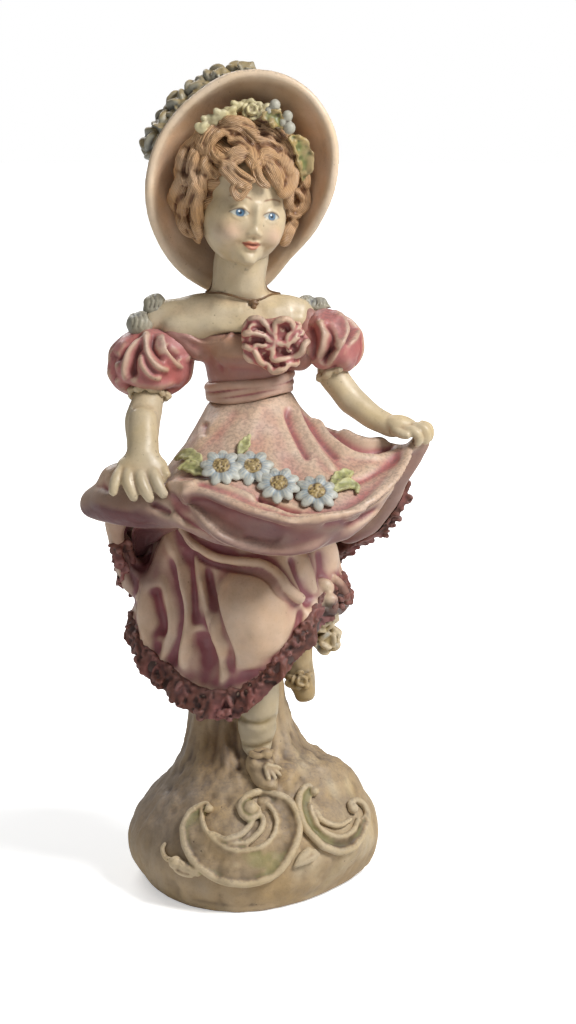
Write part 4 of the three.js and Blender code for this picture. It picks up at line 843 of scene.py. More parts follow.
plug = [(*under_roll.seen(pixel, -0.4), 1.9) for pixel in ((184, 490), (188, 494), (196, 511), (202, 519))]
cloth = cloth.joined([sheet(band, 60, 12, 2.4), tube(plug, 10, 0.8)], 0.55, 3, 1.1, 6)
cloth.carve((
    (2.6, 1.1, 162, 481, 188, 481, 211.6, 484, 235, 491, 259, 501, 282, 511, 301, 517, 330, 515.6, 358, 511,
     377, 502, 393, 484, 407, 458, 415, 445),
    (5.5, -0.8, 196, 494, 214, 508, 232, 522, 252, 531, 275, 535, 301, 531),
    (2.4, -1.0, 240, 534, 263.5, 539, 284, 539),
    (3.0, 1.9, 164, 487, 178.5, 493, 192.7, 507, 207, 524, 223.4, 537, 247, 546, 270.6, 550, 296.5, 549, 320,
     542, 338, 533),
    (4.4, -2.2, 166, 497, 186, 520, 206, 540, 232, 556, 262, 563, 296, 563),
    (2.8, -2.2, 251, 497.5, 270.6, 502.6, 287, 509.4, 303, 514),
    (3.0, -1.7, 318, 529, 336.6, 526, 353, 521.5, 369, 514, 382, 506),
    (3.2, -1.8, 150, 502, 160, 508, 172, 515),
    (3.4, -0.5, 94, 486, 106, 488, 118, 494),
    (3.0, -0.6, 104, 470, 103, 482, 108, 494),
    (6, 0.6, 90, 500, 112, 508, 140, 514),
    (3.4, -1.7, 286, 404, 291, 424, 300, 444, 311, 463),
    (3.2, 1.3, 294, 402, 302, 424, 312, 444, 326, 462, 340, 474),
    (3.0, -1.5, 301, 402, 312, 424, 326, 446, 342, 462),
    (3.2, 1.2, 308, 402, 320, 424, 333, 441, 351, 453, 372, 457, 390, 454),
    (3.4, -1.9, 320, 410, 334, 430, 349, 444, 366, 450, 384, 447, 402, 440),
    (3.0, 1.2, 328, 410, 344, 430, 362, 441, 384, 440, 404, 433),
    (2.6, -0.9, 344, 420, 362, 432, 382, 433, 400, 429),
    (3, -0.6, 206, 422, 203, 436),
    (6, -0.5, 240, 402, 226, 424, 204, 444, 184, 458),
    (6, 0.5, 256, 402, 252, 424, 246, 440),
    (4, -0.9, 344, 484, 366, 478, 388, 464, 402, 448),
    (3.0, 0.9, 396, 486, 404, 470, 414, 452),
))
cloth.dab((147, 546), (18, 18), -3.5)
at = cloth.points
turn = np.arctan2(at[:, 1] + 3, at[:, 0])
behind = (1 - cloth.front) * ramp(at[:, 1], -22, 0)
cloth.push += behind * (0.35 * mottle(at * (1, 1, 0.25), 5, 41) + 0.4 * mottle(at * (1, 1, 0.3), 9, 42))
cloth.rough((0.25, 7, 43), (0.08, 2.6, 44)).settle(3)
paint = washed(cloth, "cream", "pink", deep="wine", reach=0.95, depth=0.7)
# Painted shade: mauve over the cloth's lower part, below the rolled edge
under = ramp(cloth.photo[:, 1] - 520, 0, 22) * cloth.front
paint = mixed(paint, PAINT["mauve"] * 0.8, 0.45 * under)
# Painted shade: darker cream and mauve over the slanting hollow between the rolled edge and the swag
slant = np.array(((0.93, -0.37), (0.37, 0.93)))
between = np.exp(-(((cloth.photo - (246, 523)) @ slant / (64, 15)) ** 4).sum(1)) * cloth.front
paint = mixed(paint, PAINT["cream"] * 0.3 + PAINT["mauve"] * 0.5, 0.7 * between)
# Painted shade: darker mauve on the cloth's faces that turn downwards
underside_shade = ramp(0.25 - cloth.normal[:, 2], 0, 0.9) * cloth.front
paint = mixed(paint, PAINT["mauve"] * 0.55, 0.68 * underside_shade)
# Painted shade: wine over the cloth bunched in her right hand, more where it faces down
paint = mixed(paint, PAINT["wine"] * 0.7, cloth.patch((116, 520), (48, 34)) * (0.6 * underside_shade + 0.62))
# Painted shade: wine in the deep hollow beside the side fall
paint = mixed(paint, PAINT["wine"] * 0.55, 0.9 * cloth.patch((146, 550), (22, 19)))
keep("overskirt", cloth, paint, CLOTH)

# Where the petticoat would show through the overskirt's back, it is pushed under it
cloth_ground = Ground(cloth)
at = petticoat.points
clear = above(at, edge_line)
for i in np.flatnonzero((clear > 0) & (at[:, 1] > 2)):
    hit, normal, _, _ = cloth_ground.tree.find_nearest(Vector(at[i]))
    hit, normal = np.array(hit), np.array(normal)
    proud = (at[i] - hit) @ normal
    allowed = 1.5 - 2.6 * min(1.0, (at[i, 1] - 2) / 5) * min(1.0, clear[i] / 3)
    if allowed < proud < 4:
        at[i] -= normal * (proud - allowed)

# Flowers and leaves in the lifted skirt

FACING = unit(np.array((0.05, -0.72, 0.70)))
UPRIGHT = np.array(Vector((0, 0, 1)).rotation_difference(Vector(FACING)).to_matrix())
BUTTONS = [(222, 471), (252.6, 471), (278, 488), (316.5, 496)]
PETALS = 9
for k, pixel in enumerate(BUTTONS, 1):
    centre = cloth_ground.seen(pixel, 1.3)
    forms = [egg((0, 0, -0.9), (4.6, 4.6, 1.3)), egg((0, 0, 0.6), (2.5, 2.5, 1.2))]
    for i in range(PETALS):
        turn = i * 360 / PETALS + 9 * k + rng.normal(0, 3)
        way = np.array((math.cos(math.radians(turn)), math.sin(math.radians(turn)), 0))
        long = 2.35 + rng.normal(0, 0.12)
        forms.append(egg(way * 4.1 + (0, 0, 0.2 + 0.45 * (i % 2)), (long, 1.6, 0.85), (0, 12, turn)))
    form = Form([posed(form, centre, FACING) for form in forms], 0.24, 3)
    local = (form.points - centre) @ UPRIGHT
    spot = np.hypot(local[:, 0], local[:, 1])
    form.push += 0.45 * ramp(2.5 - spot, 0, 0.4) * mottle(local + 10 * k, 0.55, 48)
    form.settle(1)
    paint = washed(form, "petal", "petal_blue", reach=0.9)
    rays = np.cos(np.arctan2(local[:, 1], local[:, 0]) * 27 + 9 * k)
    paint = mixed(paint, "petal_blue", 0.6 * ramp(5.4 - spot, 0, 1.8) * ramp(rays, -0.6, 0.6))
    yellow = (ramp(2.8 - spot, 0, 0.35) * ramp(local[:, 2], -0.4, 0.2))[:, None]
    ochre = np.repeat(PAINT["ochre"][None], len(spot), 0)
    button = mixed(ochre, "antique", form.hollows((2,))[0] + 0.6 * ramp(spot, 2.0, 2.7))
    keep(f"daisy_{k}", form, paint * (1 - yellow) + button * yellow)


def leaf(rows, tilt, folded=0.5):
    """A pointed leaf along rows of x, y, z and half width, with a raised rib and wavy sides."""
    line = spline(rows, 0.5)
    way = unit(np.gradient(line[:, :3], axis=0))
    across = unit(np.cross(way, np.asarray(tilt, float)))
    face = np.cross(across, way)

    def point(u, w):
        i = int(round(u * (len(line) - 1)))
        side = 2 * w - 1
        ripple = 0.28 * math.sin(u * 20 + 1.5 * side) * abs(side)
        reach = line[i, 3] * side * (1 + 0.10 * math.sin(u * 26))
        return line[i, :3] + across[i] * reach + face[i] * (folded * line[i, 3] * side**2 * 0.5 + ripple)

    rib = np.column_stack([line[:, :3], np.maximum(0.14 * line[:, 3] + 0.1, 0.2)])
    return [sheet(point, len(line), 11, 0.95), tube(rib[:: max(1, len(rib) // 8)], 8, 0.5)]


for name, lines in (
    ("apron_leaf_right", [(203, 470, 0.5, 196, 460, 1.8, 186, 457, 1.9, 178, 462, 0.4),
                          (206, 477, 0.5, 197, 473, 1.7, 187, 469, 1.5, 180, 472, 0.3),
                          (200, 468, 0.4, 190, 466, 1.2, 183, 468, 0.3)]),
    ("apron_leaf_top", [(238, 457, 0.4, 243, 448, 1.7, 249, 436, 0.3)]),
    ("apron_leaf_left", [(330, 490, 0.5, 338, 481, 2.0, 347, 476, 1.6, 353, 475, 0.4),
                         (333, 494, 0.5, 344, 487, 2.0, 355, 488, 1.0, 357, 496, 0.4)]),
):
    forms = []
    for line in lines:
        rows = [(*cloth_ground.seen(row[:2], 1.0), row[2]) for row in np.reshape(line, (-1, 3))]
        forms += leaf(rows, (0, -0.8, 0.7))
    form = Form(forms, 0.26, 2, whole=True)
    keep(name, form, washed(form, "leaf", "leaf_deep"))

# Bodice, sash, neck and shoulders

bodice_forms = [node("bodice", 0.0)]
for depth, *line in (
    (-4.0, 174, 335, 3.4, 188, 342, 4.0, 204, 350, 4.4),
    (-5.0, 168, 332, 3.0, 180, 334, 3.4, 194, 340, 3.6),
    (-5.0, 306, 322, 3.0, 306, 338, 4.2, 302, 356, 4.0, 296, 366, 3.0),
    (-3.0, 303, 312, 2.4, 310, 318, 3.0, 312, 330, 3.4),
):
    bodice_forms.append(limb(line, depth))
bodice = Form(bodice_forms, 0.5, 5, 0.9, 26)
neckline = [(-17.2, 0, 168.6, 1.3), (-16, 6, 168.8, 1.5), (-9, 10.9, 168.9, 1.6), (0, 12.0, 169.0, 1.6),
            (9, 10.8, 168.9, 1.6), (15.4, 5.6, 168.7, 1.5), (16.2, 0, 168.6, 1.2)]
bodice = bodice.joined([tube(neckline, 12, 0.8)], 0.4, 3)
for x in (-8.5, -0.5, 7.5):
    seam = [(x, 10.8, 168), (0.75 * x, 10.2, 160), (0.6 * x, 9.6, 152)]
    bodice.stroke(seam, 0.9, -0.6, bodice.points, 1 - bodice.front)
bodice.carve((
    (1.8, 0.8, 178, 333, 190, 338, 202, 343, 212, 344, 224, 341, 234, 331, 242, 322),
    (4, -0.5, 186, 342, 202, 352, 216, 362, 224, 376),
    (4, 0.4, 214, 352, 222, 362, 230, 374),
    (3, -0.35, 214, 356, 236, 359, 256, 360),
    (3, -0.3, 212, 366, 236, 369, 268, 372),
    (3.5, 0.5, 300, 330, 305, 346, 304, 364),
    (3, -0.5, 296, 350, 291, 362, 286, 374),
))
bodice.rough((0.15, 4, 51)).settle(2)
paint = mixed(washed(bodice, "blush", "pink", reach=0.9), "pink", 0.3)
paint = mixed(paint, "skin_shade", 0.55 * bodice.patch((226, 348), (26, 13)))
trim = ramp(bodice.points[:, 2], 167.0, 167.6) * ramp(bodice.points[:, 1], 0, 3)
keep("bodice", bodice, mixed(paint * 0.86, "cream", 0.8 * trim))

bands = []
for up, out, radius in ((-2.3, -0.5, 1.2), (-0.5, -0.1, 1.0), (1.5, -0.3, 1.5)):
    ring = []
    for k in range(40):
        a = k * math.pi / 20
        x = (12.4 + out) * math.cos(a)
        wave = 0.35 * math.sin(3 * a + up)
        ring.append((x, (10.9 + out) * math.sin(a), 151.4 + up + wave + 0.14 * x, radius))
    bands.append(tube(ring, 12, 0.8, closed=True))
sash = Form([node("sash", -0.8)] + bands, 0.32, 2)
keep("sash", sash, mixed(washed(sash, "cream", "pink", reach=1.2), "pink", 0.25), look="satin")

shoulder_forms = [node("shoulders", 0.3), node("neck", 0.2)]
for depth, *line in (
    (-0.5, 232, 312, 6.0, 206, 313, 6.2, 184, 315, 5.4, 168, 318, 4.4),
    (-4.0, 236, 322, 5.0, 206, 326, 5.0, 180, 326, 4.6, 166, 327, 3.4),
    (-1.5, 268, 312, 5.6, 288, 312, 5.2, 306, 314, 4.2),
    (-4.0, 262, 322, 5.0, 284, 322, 4.8, 304, 320, 3.6),
    (-1.0, 182, 311, 4.0, 166, 314, 4.4, 154, 321, 4.4, 146, 330, 3.4),
):
    shoulder_forms.append(limb(line, depth))
shoulders = Form(shoulder_forms, 0.42, 6, 0.8, 26)
shoulders.carve(((6, 0.35, 208, 305, 226, 309, 244, 310), (6, 0.35, 262, 310, 280, 307, 294, 304)))
shoulders.dab((252, 304), (5, 4), -0.6)
shoulders.rough((0.12, 6, 52)).settle(2)


def freckled(form, paint, fine, wide, low):
    """Small dark spots in the skin's paint, more in some places, from two sizes and seeds."""
    spots = ramp(mottle(form.points, *fine), 0.62, 0.8) * ramp(mottle(form.points, *wide), low, 0.5)
    return mixed(paint, "slate", 0.5 * spots)


paint = freckled(shoulders, washed(shoulders, "skin", "skin_shade", reach=0.5), (0.9, 55), (7, 56), 0.0)
keep("shoulders", shoulders, paint, ["shoulders", "neck"], look="skin")

chain_ground = Ground(shoulders)
IN_FRONT = ((207, 293), (222, 292), (238, 297), (252, 301), (264, 299), (275, 294))
BEHIND = [(9.5, -2, 181.5), (9, 3, 182.6), (4, 8, 183.4), (-4, 9.5, 183.6), (-11, 7, 183.4), (-14.6, 2, 183)]
round_neck = [chain_ground.seen(pixel) for pixel in IN_FRONT] + BEHIND
chain = np.array([chain_ground.near(p) for p in spline(round_neck, 0.8, True)])
for _ in range(16):
    eased = (np.roll(chain, 1, 0) + 2 * chain + np.roll(chain, -1, 0)) / 4
    chain = np.array([chain_ground.near(p) for p in eased])
chain = [(*chain_ground.near(p, 0.2), 0.36) for p in chain]
drop = chain_ground.seen((254, 303), 0.6)
necklace = Form([
    tube(chain, 8, 0.5, closed=True), egg(drop, (0.8, 0.7, 0.8)), egg(drop - (0, 0.1, 1.4), (0.9, 0.7, 1.2)),
    egg(drop - (0.9, -0.1, 0.2), (0.6, 0.5, 0.5)), egg(drop - (-0.9, -0.1, 0.2), (0.6, 0.5, 0.5)),
], 0.2, 1)
keep("necklace", necklace, washed(necklace, "umber", "antique"))

# Sleeves with deep gathers

for name, gathers in (
    ("right_sleeve", [
        (4.5, -2.2, 146, 333, 132, 338, 121, 350, 115, 366),
        (3.6, 1.6, 152, 332, 139, 340, 129, 352, 125, 368, 127, 384),
        (3.4, -2.2, 144, 342, 136, 352, 133, 366, 134, 380),
        (3.4, 1.5, 150, 332, 146, 344, 150, 358, 160, 368, 172, 370),
        (3.6, 1.2, 140, 352, 143, 366, 152, 376, 164, 378),
        (2.8, -1.9, 155, 332, 152, 344, 157, 354, 166, 360),
        (3.2, 1.5, 161, 332, 162, 344, 168, 356, 178, 366, 184, 364),
        (3.2, -2.0, 166, 345, 172, 352, 180, 360),
        (3.6, 1.1, 170, 332, 180, 342, 187, 354, 188, 364),
        (4, -1.2, 112, 350, 110, 366, 116, 382),
        (3.0, -1.1, 118, 382, 138, 392, 162, 394, 184, 386),
        (4.0, 0.7, 128, 374, 140, 384, 160, 386, 178, 380),
    ]),
    ("left_sleeve", [
        (4.0, 1.2, 316, 318, 324, 330, 323, 346, 318, 360),
        (4.0, -2.0, 322, 322, 332, 332, 330, 348, 322, 364),
        (3.4, 1.6, 330, 310, 342, 320, 345, 334, 336, 350, 326, 366),
        (2.8, -2.2, 337, 346, 330, 354, 322, 364),
        (3.2, -1.8, 338, 309, 350, 318, 353, 332, 345, 346),
        (3.0, 1.0, 344, 306, 356, 316, 358, 330, 350, 346),
        (4.0, 0.9, 300, 330, 306, 346, 304, 366),
        (3.4, -1.2, 310, 324, 314, 340, 312, 362),
        (3.0, -0.8, 306, 372, 322, 376, 340, 364),
    ]),
):
    form = Form([node(name, 0.6)], 0.36, 5, 0.9, 30)
    form.carve(gathers)
    away = form.points - form.points.mean(0)
    turn = np.arctan2(away[:, 1], away[:, 0])
    form.push += (1 - form.front) * 1.1 * np.cos(turn * 11) * ramp(6.5 - np.abs(away[:, 2]), -3, 4)
    form.rough((0.12, 3, 53)).settle(1)
    paint = washed(form, "pink", "rose", deep="wine", reach=0.9, depth=0.7)
    keep(name, form, 0.94 * mixed(paint, "cream", 0.85 * ramp(-form.hollows((5,))[0], 0.05, 0.75)))

for name in ("right_cuff", "left_cuff"):
    form = Form([node(name, 0.1)], 0.26, 3)
    x, y = form.points[:, 0], form.points[:, 1]
    turn = np.arctan2(y - y.mean(), x - x.mean())
    form.push += 0.35 * np.cos(turn * 9 + mottle(form.points, 3, 58)) + 0.2 * mottle(form.points, 1.6, 54)
    form.settle(1)
    keep(name, form, washed(form, "skin", "ochre"))

# Ruffles pinned to the middle of the bodice: pink troughs between cream edges

pad = Form([node("bust_ruffle", 0.2)], 0.34, 5, 0.8, 10)
RUFFLES = (
    (246, 347, 241.5, 337, 243, 326.5, 251.5, 321, 260, 321, 268, 327, 274, 333, 277, 323, 285, 319.6, 291, 323,
     293, 330, 299, 326, 302, 321),
    (246.4, 347, 253, 350, 258.4, 344, 265, 346, 272, 349, 273, 357.5, 278, 360, 286, 359, 293, 356,
     301.4, 350.6, 306.6, 338.5, 306.6, 330),
    (244.6, 334, 252, 332, 262, 335, 270.5, 340, 279, 343, 287.7, 343.7, 294.6, 340, 300, 333),
    (255, 352, 260, 361, 268.7, 364, 274, 371, 282.5, 369.5, 287.7, 364, 298, 361),
    (274, 333, 275, 341, 272, 349),
    (293, 330, 288, 338, 290, 350),
)
pad_ground = Ground(pad)
edges = []
for line in RUFFLES:
    rows = [(*pixel, 1.05) for pixel in np.reshape(line, (-1, 2))]
    edges.append(tube(laid(pad_ground, rows, 0.6, 2.0), 8, 0.4, 1.2, (0, -1, 0)))
ruffle = pad.joined(edges, 0.28, 3)
ruffle.carve((
    (2.6, -0.8, 250, 329, 258, 328, 266, 332),
    (2.8, -0.8, 250, 340, 258, 340, 266, 342),
    (2.4, -0.8, 281, 329, 285, 327, 289, 332),
    (3.0, -0.8, 280, 350, 288, 351, 297, 345),
    (2.6, -0.7, 264, 354, 268, 358),
    (2.4, -0.6, 299, 338, 302, 330),
    (2.0, -0.5, 279, 365, 286, 364),
    (1.6, -0.3, 270, 346, 262, 350),
))
ruffle.settle(1)
paint = washed(ruffle, "pink", "rose", deep="wine", reach=0.55, depth=0.5)
keep("bust_ruffle", ruffle, mixed(paint, "cream", 0.95 * ramp(-ruffle.hollows((6,))[0], 0.0, 0.45)))

# Shoulder roses

for name, balls in (
    ("right_shoulder_roses", [((156, 302), (-28.0, -1.5, 175.2), 3.5), ((140, 321), (-32.4, -4, 169.8), 3.9)]),
    ("left_shoulder_roses", [((309, 300), (17, 1.6, 175.2), 2.9), ((320, 302), (20.5, 1, 174.8), 2.7)]),
):
    forms = [egg(centre, (radius, radius, radius * 1.05)) for _, centre, radius in balls]
    form = Form(forms + [node(name, -1.2)], 0.28, 4)
    for (px, py), _, radius in balls:
        r = radius / PIXEL
        for k in range(4):
            x = px + r * (0.42 * k - 0.62)
            rib = [(x - 0.1 * r, py - 0.8 * r), (x + 0.12 * r, py - 0.1 * r), (x - 0.05 * r, py + 0.7 * r)]
            form.stroke(rib, 1.5, -0.35)
    form.rough((0.4, 1.8, 60)).settle(1)
    paint = washed(form, "moss", "moss_deep")
    keep(name, form, mixed(paint, "petal_blue", 0.25 * ramp(mottle(form.points, 3, 64), 0.1, 0.8)))

# Arms and hands, the fingers as rows of pixel, radius and depth

right_arm = [
    node("right_arm", 0.2),
    limb((143, 414, 4.2, -17.6, 143, 430, 4.7, -20.8, 143, 446, 4.8, -23.7, 142, 461, 4.9, -26.3)),
    egg(at_depth((142, 468), -27.0), (7.8, 4.2, 5.0), (-35, 0, 0)),
    egg(at_depth((143, 477), -29.4), (7.6, 3.2, 4.4), (-35, 0, 0)),
]
left_arm = [node("left_arm", 0.2)]
palm = [egg((44.6, -10.6, 140.7), (5.6, 3.6, 3.2), (0, 14, 0))]
RIGHT_FINGERS = (
    (124, 466, 1.7, -27.6, 117, 478, 1.75, -30.6, 114, 487, 1.6, -32.2, 113, 494, 1.3, -32.6),
    (130, 468, 1.9, -28.8, 128, 481, 1.95, -32.0, 131, 491, 1.75, -33.4, 135, 499, 1.4, -33.6),
    (140, 468, 1.9, -28.8, 141, 481, 2.0, -32.4, 146, 492, 1.8, -33.8, 151, 500, 1.45, -34.0),
    (150, 467, 1.95, -28.4, 155, 479, 2.0, -32.0, 160, 489, 1.8, -33.4, 165, 496, 1.45, -33.6),
    (158, 462, 1.7, -26.0, 163, 469, 1.7, -28.4, 167, 476, 1.4, -30.4),
)
LEFT_FINGERS = (
    (404, 429, 1.5, -13.0, 414, 432, 1.7, -14.6, 419, 438, 1.5, -15.0, 417, 445, 1.2, -14.8),
    (414, 426, 1.5, -12.4, 424, 429, 1.65, -13.6, 427, 436, 1.45, -13.8, 425, 443, 1.2, -13.6),
    (420, 424, 1.4, -11.0, 428, 427, 1.5, -11.6, 430, 434, 1.3, -11.8, 429, 440, 1.1, -11.6),
    (394, 430, 1.6, -12.6, 402, 434, 1.6, -14.6, 409, 436, 1.3, -15.4),
)
# level darkens each arm's skin paint as painted shade, the right arm more than the left
for side, arm, hand, fingers, level in (
    ("right", right_arm, [], RIGHT_FINGERS, 0.9), ("left", left_arm, palm, LEFT_FINGERS, 0.97),
):
    form = Form(arm, 0.36, 10, 0.8, 90)
    form = form.joined(hand + [limb(line, step=0.6) for line in fingers], 0.3, 6)
    form.rough((0.12, 5, 61)).settle(1)
    paint = freckled(form, washed(form, "skin", "skin_shade", reach=0.55), (0.8, 62), (6, 63), 0.1)
    keep(f"{side}_arm", form, paint * level, [f"{side}_arm", f"{side}_hand"], look="skin")

# Head, with a plain doll-like face

HEAD = np.array((-1.7, -2.5, 206.0))
HEAD_TURN = (0, 8, 20)


def on_head(x, y, z):
    """A point given from the middle of the head: towards her left, back and up."""
    return turned(np.array((x, y, z), float), HEAD_TURN) + HEAD


def in_head(points):
    return (points - HEAD) @ np.array(Euler([math.radians(a) for a in HEAD_TURN]).to_matrix())


EYE_X, EYE_Z, MOUTH_Z = 4.9, -3.4, -12.0
head = Form([egg(on_head(*place), radii, HEAD_TURN) for place, radii in (
    ((0, 4, 3.5), (13.5, 13.5, 15)),
    ((0, -2.5, -5), (12.4, 11.6, 13.4)),
    ((0, -1.2, 3.5), (12.2, 11.8, 12.5)),
    ((0, -7.8, -14), (5.0, 4.8, 4.4)),
    ((0, -11.4, -16.4), (2.4, 1.8, 1.8)),
    ((-5.4, -8.4, -9.0), (4.4, 4.4, 4.4)),
    ((5.4, -8.4, -9.0), (4.4, 4.4, 4.4)),
)], 0.24, 4, 0.7, 24)


def on_face():
    """Where marks on the face go: across and up from the middle of the head, on its front."""
    local = in_head(head.points)
    return {"space": local[:, [0, 2]], "mask": ramp(-local[:, 1], 6, 9)}


here = on_face()
for side in (-1, 1):
    head.dab((side * EYE_X, EYE_Z - 0.1), (2.9, 2.0), -1.15, **here)
    head.dab((side * 1.9, EYE_Z + 0.6), (1.3, 2.2), -0.35, **here)
    head.stroke([(side * 2.4, 0.6), (side * 5.2, 1.4), (side * 8.4, 0.2)], 1.2, 0.3, **here)
    head.dab((side * 6.2, -9.2), (2.8, 2.4), 0.35, **here)
    head.dab((side * 1.35, -8.9), (0.85, 0.75), 0.75, **here)
    head.dab((side * 3.6, MOUTH_Z - 0.1), (0.9, 0.8), -0.3, **here)
head.stroke([(0, 0.6), (0, -4.0), (0, -7.6)], 1.15, 0.85, ends=0.3, **here)
head.dab((0, -8.0), (1.25, 1.15), 1.55, **here)
head.dab((0, -10.2), (0.5, 0.8), -0.22, **here)
upper_lip = [(-2.8, 0.1), (-1.2, 0.75), (0, 0.55), (1.2, 0.75), (2.8, 0.1)]
lower_lip = [(-2.2, -0.55), (0, -1.15), (2.2, -0.55)]
between_lips = [(-3.2, 0.15), (-1.3, 0.0), (0, -0.15), (1.3, 0.0), (3.2, 0.15)]
for line, width, height, ends in (
    (upper_lip, 0.62, 0.75, 0.25), (lower_lip, 0.8, 0.85, 0.3), (between_lips, 0.36, -0.6, 0.15),
):
    head.stroke([(x, MOUTH_Z + z) for x, z in line], width, height, ends=ends, **here)
head.dab((0, -14.3), (2.0, 0.7), -0.4, **here)
head.settle(1)
here = on_face()
upper_lid = [(-2.8, -0.5), (-1.2, 1.35), (0, 1.75), (1.6, 1.2), (3.0, -0.2)]
lower_lid = [(-2.4, -0.8), (0, -1.75), (2.6, -0.6)]
for side in (-1, 1):
    head.dab((side * EYE_X, EYE_Z), (1.9, 1.25), 0.75, **here)
    for line, width, height in ((upper_lid, 0.5, 0.5), (lower_lid, 0.45, 0.28)):
        head.stroke([(side * (EYE_X + x), EYE_Z + z) for x, z in line], width, height, **here)
head.settle(1)

local = in_head(head.points)
x, z = local[:, 0], local[:, 2]
layers = []
for side in (-1, 1):
    dx, dz = (x - side * EYE_X) * side, z - EYE_Z
    top = 1.15 - 0.155 * dx**2 - 0.03 * dx
    bottom = -1.05 + 0.14 * dx**2
    eye = ramp(top - dz, -0.10, 0.12) * ramp(dz - bottom, -0.10, 0.12)
    across = dx - 0.1 * side
    gaze = np.hypot(across, dz - 0.05)
    glint = np.hypot(across + 0.35 * side, dz - 0.42)
    brow = z - (1.5 - 0.07 * (dx - 0.4) ** 2)
    layers += [
        ("cheek", 0.45 * np.exp(-(((x - side * 6.6) / 3.2) ** 2) - ((z + 9.0) / 2.8) ** 2)),
        ("eye_white", 0.95 * eye),
        ("iris", eye * ramp(1.22 - gaze, -0.1, 0.12)),
        ("pupil", eye * ramp(0.52 - gaze, -0.1, 0.12)),
        ("pupil", 0.5 * eye * np.exp(-(((gaze - 1.18) / 0.15) ** 2))),
        ("glint", eye * ramp(0.28 - glint, -0.08, 0.1)),
        ("lash", 0.85 * (np.exp(-(((dz - top - 0.08) / 0.24) ** 2)) * ramp(3.1 - np.abs(dx), 0, 0.4))),
        ("lash", 0.30 * np.exp(-(((dz - bottom + 0.05) / 0.2) ** 2)) * ramp(2.6 - np.abs(dx), 0, 0.5)),
        ("brow", np.exp(-((brow / 0.3) ** 2)) * ramp(3.6 - np.abs(dx), 0, 1.2)),
    ]
upper_edge = 1.05 - 0.105 * x**2 - 0.30 * np.exp(-((x / 0.7) ** 2))
upper = ramp(upper_edge - (z - MOUTH_Z), -0.1, 0.2)
lower = ramp(1.75 - 0.235 * x**2 - (MOUTH_Z - z), -0.1, 0.25)
lips = np.where(z > MOUTH_Z, upper, lower)
layers += [
    ("lip", 0.8 * lips * ramp(3.1 - np.abs(x), 0, 0.4)),
    ("wine", 0.6 * np.exp(-(((z - MOUTH_Z + 0.05) / 0.16) ** 2)) * ramp(3.2 - np.abs(x), 0, 0.6)),
]
paint = washed(head, "skin", "skin_shade", reach=0.35, depth=0.35)
for name, share in layers:
    paint = mixed(paint, name, share * ramp(-local[:, 1], 6, 8))
keep("head", head, paint, look="skin")

# Hair

hair = Form([egg(on_head(0, 5.6, 6.4), (18.0, 15.2, 19.9), HEAD_TURN)], 0.45, 4)
at = in_head(hair.points)
around = np.arctan2(at[:, 0], at[:, 2] - 4)
hair.push += 0.7 * np.cos(around * 15 + 1.5 * mottle(at, 6, 71) + at[:, 1] * 0.3) + 0.35 * mottle(at, 2.6, 72)
hair.settle(2)
paint = washed(hair, "hair", "hair_deep", reach=1.1)
keep("hair", hair, paint, look="hair", strands=around * 24 + at[:, 1] * 0.3)
face_ground = Ground(hair, head)


def lock(line, width, proud):
    """A thick lock of hair half sunk in what is under it, along a line of pixels."""
    dense = spline(line, 2.0)
    body = 1 - 0.38 * np.abs(2 * np.linspace(0, 1, len(dense)) - 0.9) ** 3
    rows = []
    for p, share in zip(dense, body):
        radius = 0.80 * width * PIXEL * share
        rows.append((*face_ground.seen(p, proud - 0.3 * radius), radius))
    return tube(rows, 12, 0.6, 0.8, (0, -1, 0.1))


def combed(form, line, width, grooves, depth):
    """Fine grooves along a lock, side by side, that follow its line."""
    dense = spline(line, 3.0)
    way = unit(np.gradient(dense, axis=0))
    across = np.stack([-way[:, 1], way[:, 0]], 1)
    s = np.linspace(0, 1, len(dense))
    for k in range(grooves):
        share = (k + 1) / (grooves + 1) - 0.5
        wander = 0.05 * np.sin(s * 5 + 2 * k)
        path = dense + across * ((share + wander) * width * (1 - 0.35 * s))[:, None]
        form.stroke(path[:: max(1, len(path) // 7)], 1.15, -depth, ends=0.12)


def combing(form, locks):
    """For every point, how far across its lock it lies, as a count of fine hairs."""
    best, count = np.full(len(form.points), 1e9), np.zeros(len(form.points))
    for k, (line, width, _, _) in enumerate(locks):
        dense = spline(line, 2.0)
        way = unit(np.gradient(dense, axis=0))
        away = form.photo[:, None, :] - dense[None]
        span = (away**2).sum(2)
        near = span.argmin(1)
        gap = np.sqrt(span.min(1)) / width
        side = (away[np.arange(len(near)), near] * np.stack([-way[near, 1], way[near, 0]], 1)).sum(1)
        closer = gap < best
        best[closer] = gap[closer]
        count[closer] = (side / 1.5 + 0.37 * k)[closer]
    return count


